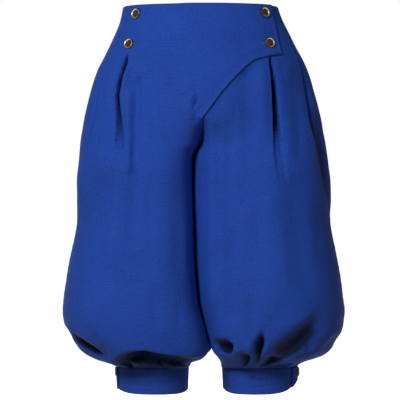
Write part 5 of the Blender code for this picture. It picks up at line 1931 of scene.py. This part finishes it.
SHEET_COLUMNS = ("node", "width", "length", "area", "held")
SHEETS = (
    ("front_right", 0.50, 0.70, 0.235, "gathered"),
    ("front_left", 0.46, 0.68, 0.22, "gathered"),
    ("back_right", 0.50, 0.70, 0.262, "gathered"),
    ("back_left", 0.50, 0.70, 0.262, "gathered"),
    ("cuff_right", 0.415, 0.045, None, "folded"),
    ("cuff_left", 0.435, 0.045, None, "folded"),
)
for node, thing in panels.items():
    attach(thing, "root")
    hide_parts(node)
for name in buttons:
    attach(buttons[name], "root")
    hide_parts(name)
    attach(threads[name], "root")
for thing in (stitch_waist, stitch_flap, stitch_holes):
    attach(thing, "root")
for sheet in named(SHEETS, SHEET_COLUMNS):
    thing = panels[sheet["node"]]
    area = sum(face.area for face in thing.data.polygons) / 2.0
    print(sheet["node"], "cloth area", round(area, 4), "m2")

# %% [markdown]
# ## Floor and light
# A pale floor stands a little below the hems. The key light is soft and stands high at the
# viewer's left, so the viewer's right and the cuffs' undersides fall into shade as in the
# photograph. A weak light opposite opens those shades a little, and one behind shows the back.

# %% Floor
FLOOR_DROP = 0.87
FLOOR_SIZE = 14.0
FLOOR_GLOW = 0.96
nothing_selected()
bpy.ops.mesh.primitive_plane_add(size=FLOOR_SIZE, location=(0.0, 1.0, -FLOOR_DROP))
floor = bpy.context.object
floor.name = "floor"
bpy.ops.object.transform_apply(location=True, rotation=True, scale=True)
floor_paint = bpy.data.materials.new("pale floor")
floor_paint.use_nodes = True
floor_shader = floor_paint.node_tree.nodes["Principled BSDF"]
floor_shader.inputs["Base Color"].default_value = (0.9, 0.9, 0.9, 1.0)
floor_shader.inputs["Roughness"].default_value = 0.9
floor_shader.inputs["Emission Color"].default_value = (1.0, 1.0, 1.0, 1.0)
floor_shader.inputs["Emission Strength"].default_value = FLOOR_GLOW
floor.visible_diffuse = False
floor.data.materials.append(floor_paint)
print("floor at", -FLOOR_DROP)

# %% Light
LIGHT_COLUMNS = ("name", "x", "y", "z", "size", "watts")
LIGHTS = (
    ("key", -1.55, -3.0, 1.5, 0.9, 92.0),
    ("fill", 1.3, -3.5, 1.0, 2.0, 11.0),
    ("back", -0.5, 3.2, 1.4, 2.0, 42.0),
)
LIGHT_AIM = (0.0, 0.0, -0.3)
for light in named(LIGHTS, LIGHT_COLUMNS):
    lamp = bpy.data.lights.new(light["name"], "AREA")
    lamp.size = light["size"]
    lamp.energy = light["watts"]
    holder = bpy.data.objects.new(light["name"], lamp)
    holder.location = (light["x"], light["y"], light["z"])
    aim = Vector(LIGHT_AIM) - holder.location
    holder.rotation_euler = aim.to_track_quat("-Z", "Y").to_euler()
    bpy.context.collection.objects.link(holder)
print(len(LIGHTS), "lights")

# %% The studio's walls
# Pale walls show in the polished rims, though they give little light themselves.
GLOSSY_SHARE = 0.22
WALL_LIGHT = 0.09
world = bpy.data.worlds.new("studio")
bpy.context.scene.world = world
world.use_nodes = True
nodes, links = world.node_tree.nodes, world.node_tree.links
surround = nodes["Background"]
surround.inputs["Color"].default_value = (1.0, 1.0, 1.0, 1.0)
surround.inputs["Strength"].default_value = WALL_LIGHT
backdrop = nodes.new("ShaderNodeBackground")
backdrop.inputs["Color"].default_value = (1.0, 1.0, 1.0, 1.0)
backdrop.inputs["Strength"].default_value = 1.0
path = nodes.new("ShaderNodeLightPath")
mix = nodes.new("ShaderNodeMixShader")
straight, mirrored = path.outputs["Is Camera Ray"], path.outputs["Is Glossy Ray"]
seen = math_node(nodes, links, "MULTIPLY_ADD", mirrored, GLOSSY_SHARE, straight)
links.new(seen, mix.inputs["Fac"])
links.new(surround.outputs["Background"], mix.inputs[1])
links.new(backdrop.outputs["Background"], mix.inputs[2])
links.new(mix.outputs["Shader"], nodes["World Output"].inputs["Surface"])
